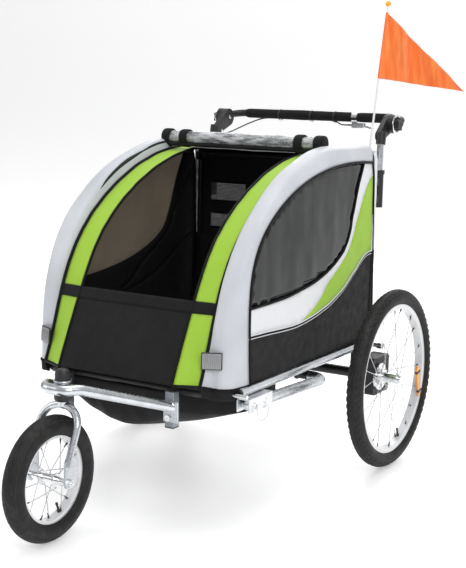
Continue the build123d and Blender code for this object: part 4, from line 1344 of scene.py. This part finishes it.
HEAD_FOOT = at(0, -0.933, 0)
head = Shape()
outline = [
    (0.0131, 0.3411), (0.0210, 0.3411), (0.0220, 0.3420), (0.0220, 0.3444), (0.0210, 0.3452),
    (0.0175, 0.3458)
]
outline += [
    (0.0170, 0.3465), (0.0170, 0.3695), (0.0175, 0.3702), (0.0210, 0.3708), (0.0220, 0.3716),
    (0.0220, 0.3742)
]
outline += [(0.0210, 0.3750), (0.0131, 0.3750)]
head.lathe(outline, HEAD_FOOT, (0, 0, 1), 56, ring=True)
web = [
    (0.021, -0.945), (0.031, -0.931), (0.046, -0.906), (-0.046, -0.906), (-0.031, -0.931),
    (-0.021, -0.945)
]
corners = [at(x, y, z) for z in (0.3562, 0.3598) for x, y in web]
head.add(
    corners,
    [(5, 4, 3, 2, 1, 0), tuple(range(6, 12))] + [
        (i, (i + 1) % 6, (i + 1) % 6 + 6, i + 6) for i in range(6)
    ]
)
head.make("head_barrel", GALVANISED, "chassis", ["head_tube"], "steel_tube", bevel=0.0004, angle=30)
cup = Shape()
outline = [
    (0.0131, 0.3246), (0.0150, 0.3246), (0.0178, 0.3262), (0.0198, 0.3292), (0.0206, 0.3330),
    (0.0206, 0.3400)
]
cup.lathe(outline + [(0.0198, 0.3409), (0.0131, 0.3409)], HEAD_FOOT, (0, 0, 1), 56, ring=True)
cup.make("head_cup", PLASTIC, "chassis", slot="black_plastic", angle=40)

caps = Shape()
for sign in (1, -1):
    caps.lathe(
        [(0.0, -0.0020), (0.0095, -0.0020), (0.0112, 0.0), (0.0112, 0.003), (0.0, 0.003)],
        at(sign * 0.300, -0.640, 0.325), (0, 1, 0), 28
    )
caps.make("rail_plugs", PLASTIC, "chassis", slot="black_plastic")

posts = Shape()
for sign in (1, -1):
    posts.box(at(sign * 0.160, -0.718, 0.3285), (0.0255, 0.0255, 0.004))
    posts.box(at(sign * 0.160, -0.718, 0.2385), (0.0255, 0.0255, 0.003))
posts.make("post_caps", PLASTIC, "chassis", slot="black_plastic", bevel=0.001)

# ---------------------------------------------------------------- floor, light and camera


def stage_paint(name, colour, rough):
    paint = Paint(name, colour, rough, Emission_Color=(1, 1, 1, 1), Emission_Strength=0.34)
    paint.bump(paint.noise(3, 2), 0.02, 0.001)
    return paint.material


backdrop = Shape()
profile = [(-6.0, 0.0), (3.0, 0.0), (4.2, 0.02), (5.2, 0.35), (5.9, 1.1), (6.1, 2.2), (6.1, 6.0)]
rows = [
    [Vector((x, p[0], p[1])) for p in along([Vector(q) for q in profile], 60)]
    for x in (-9.0, -3.0, 3.0, 9.0)
]
backdrop.grid(rows)
floor = backdrop.make(
    "studio_floor", stage_paint("pale floor", (0.93, 0.93, 0.93), 0.35), None, angle=80
)


def area_light(name, place, target, size, power):
    data = bpy.data.lights.new(name, "AREA")
    data.shape = "RECTANGLE"
    data.size, data.size_y = size
    data.energy = power
    lamp = bpy.data.objects.new(name, data)
    lamp.location = place
    lamp.rotation_euler = (Vector(target) - Vector(place)).to_track_quat("-Z", "Y").to_euler()
    bpy.context.scene.collection.objects.link(lamp)


area_light("key", (3.2, -2.6, 3.2), (0, 0, 0.5), (2.2, 2.2), 72)
area_light("fill", (-3.6, -2.4, 2.2), (0, 0, 0.5), (2.4, 2.4), 30)
area_light("top", (0.0, 0.4, 4.2), (0, 0, 0.4), (3.0, 3.0), 68)
area_light("rim", (-1.5, 3.6, 2.6), (0, 0, 0.6), (2.4, 1.6), 36)

# White overhead and a darker horizon, so that bright metal has something to mirror
world = bpy.data.worlds.new("studio")
bpy.context.scene.world = world
world.use_nodes = True
sky = world.node_tree
direction = sky.nodes.new("ShaderNodeTexCoord").outputs["Generated"]
split = sky.nodes.new("ShaderNodeSeparateXYZ")
ramp = sky.nodes.new("ShaderNodeValToRGB")
height = sky.nodes.new("ShaderNodeMapRange")
height.inputs["From Min"].default_value = -1.0
sky.links.new(direction, split.inputs[0])
sky.links.new(split.outputs["Z"], height.inputs["Value"])
sky.links.new(height.outputs["Result"], ramp.inputs["Fac"])
ramp.color_ramp.elements[0].color = (0.75, 0.75, 0.76, 1.0)
for place, shade in ((0.50, 0.32), (0.60, 0.75), (0.72, 1.0)):
    ramp.color_ramp.elements.new(place).color = (shade, shade, shade * 1.01, 1.0)
sky.links.new(ramp.outputs["Color"], sky.nodes["Background"].inputs["Color"])
sky.nodes["Background"].inputs["Strength"].default_value = 0.52
bpy.context.scene.view_settings.view_transform = "Standard"

CAMERA = Vector((1.76880, -2.74431, 1.08116))
AZIMUTH, ELEVATION, ROLL = (math.radians(a) for a in (31.237, 9.706, 1.176))
LENS = 78.17
back_way = Vector(
    (
        math.sin(AZIMUTH) * math.cos(ELEVATION), -math.cos(AZIMUTH) * math.cos(ELEVATION),
        math.sin(ELEVATION)
    )
)
level_right = (-back_way).cross(Vector((0, 0, 1))).normalized()
level_up = level_right.cross(-back_way)
right_way = level_right * math.cos(ROLL) + level_up * math.sin(ROLL)
up_way = -level_right * math.sin(ROLL) + level_up * math.cos(ROLL)
camera = bpy.data.objects.new("camera", bpy.data.cameras.new("camera"))
camera.data.lens = LENS
camera.data.sensor_width = 36
camera.data.clip_end = 60
camera.matrix_world = Matrix((right_way, up_way, back_way)).transposed().to_4x4()
camera.location = CAMERA
bpy.context.scene.collection.objects.link(camera)
bpy.context.scene.camera = camera
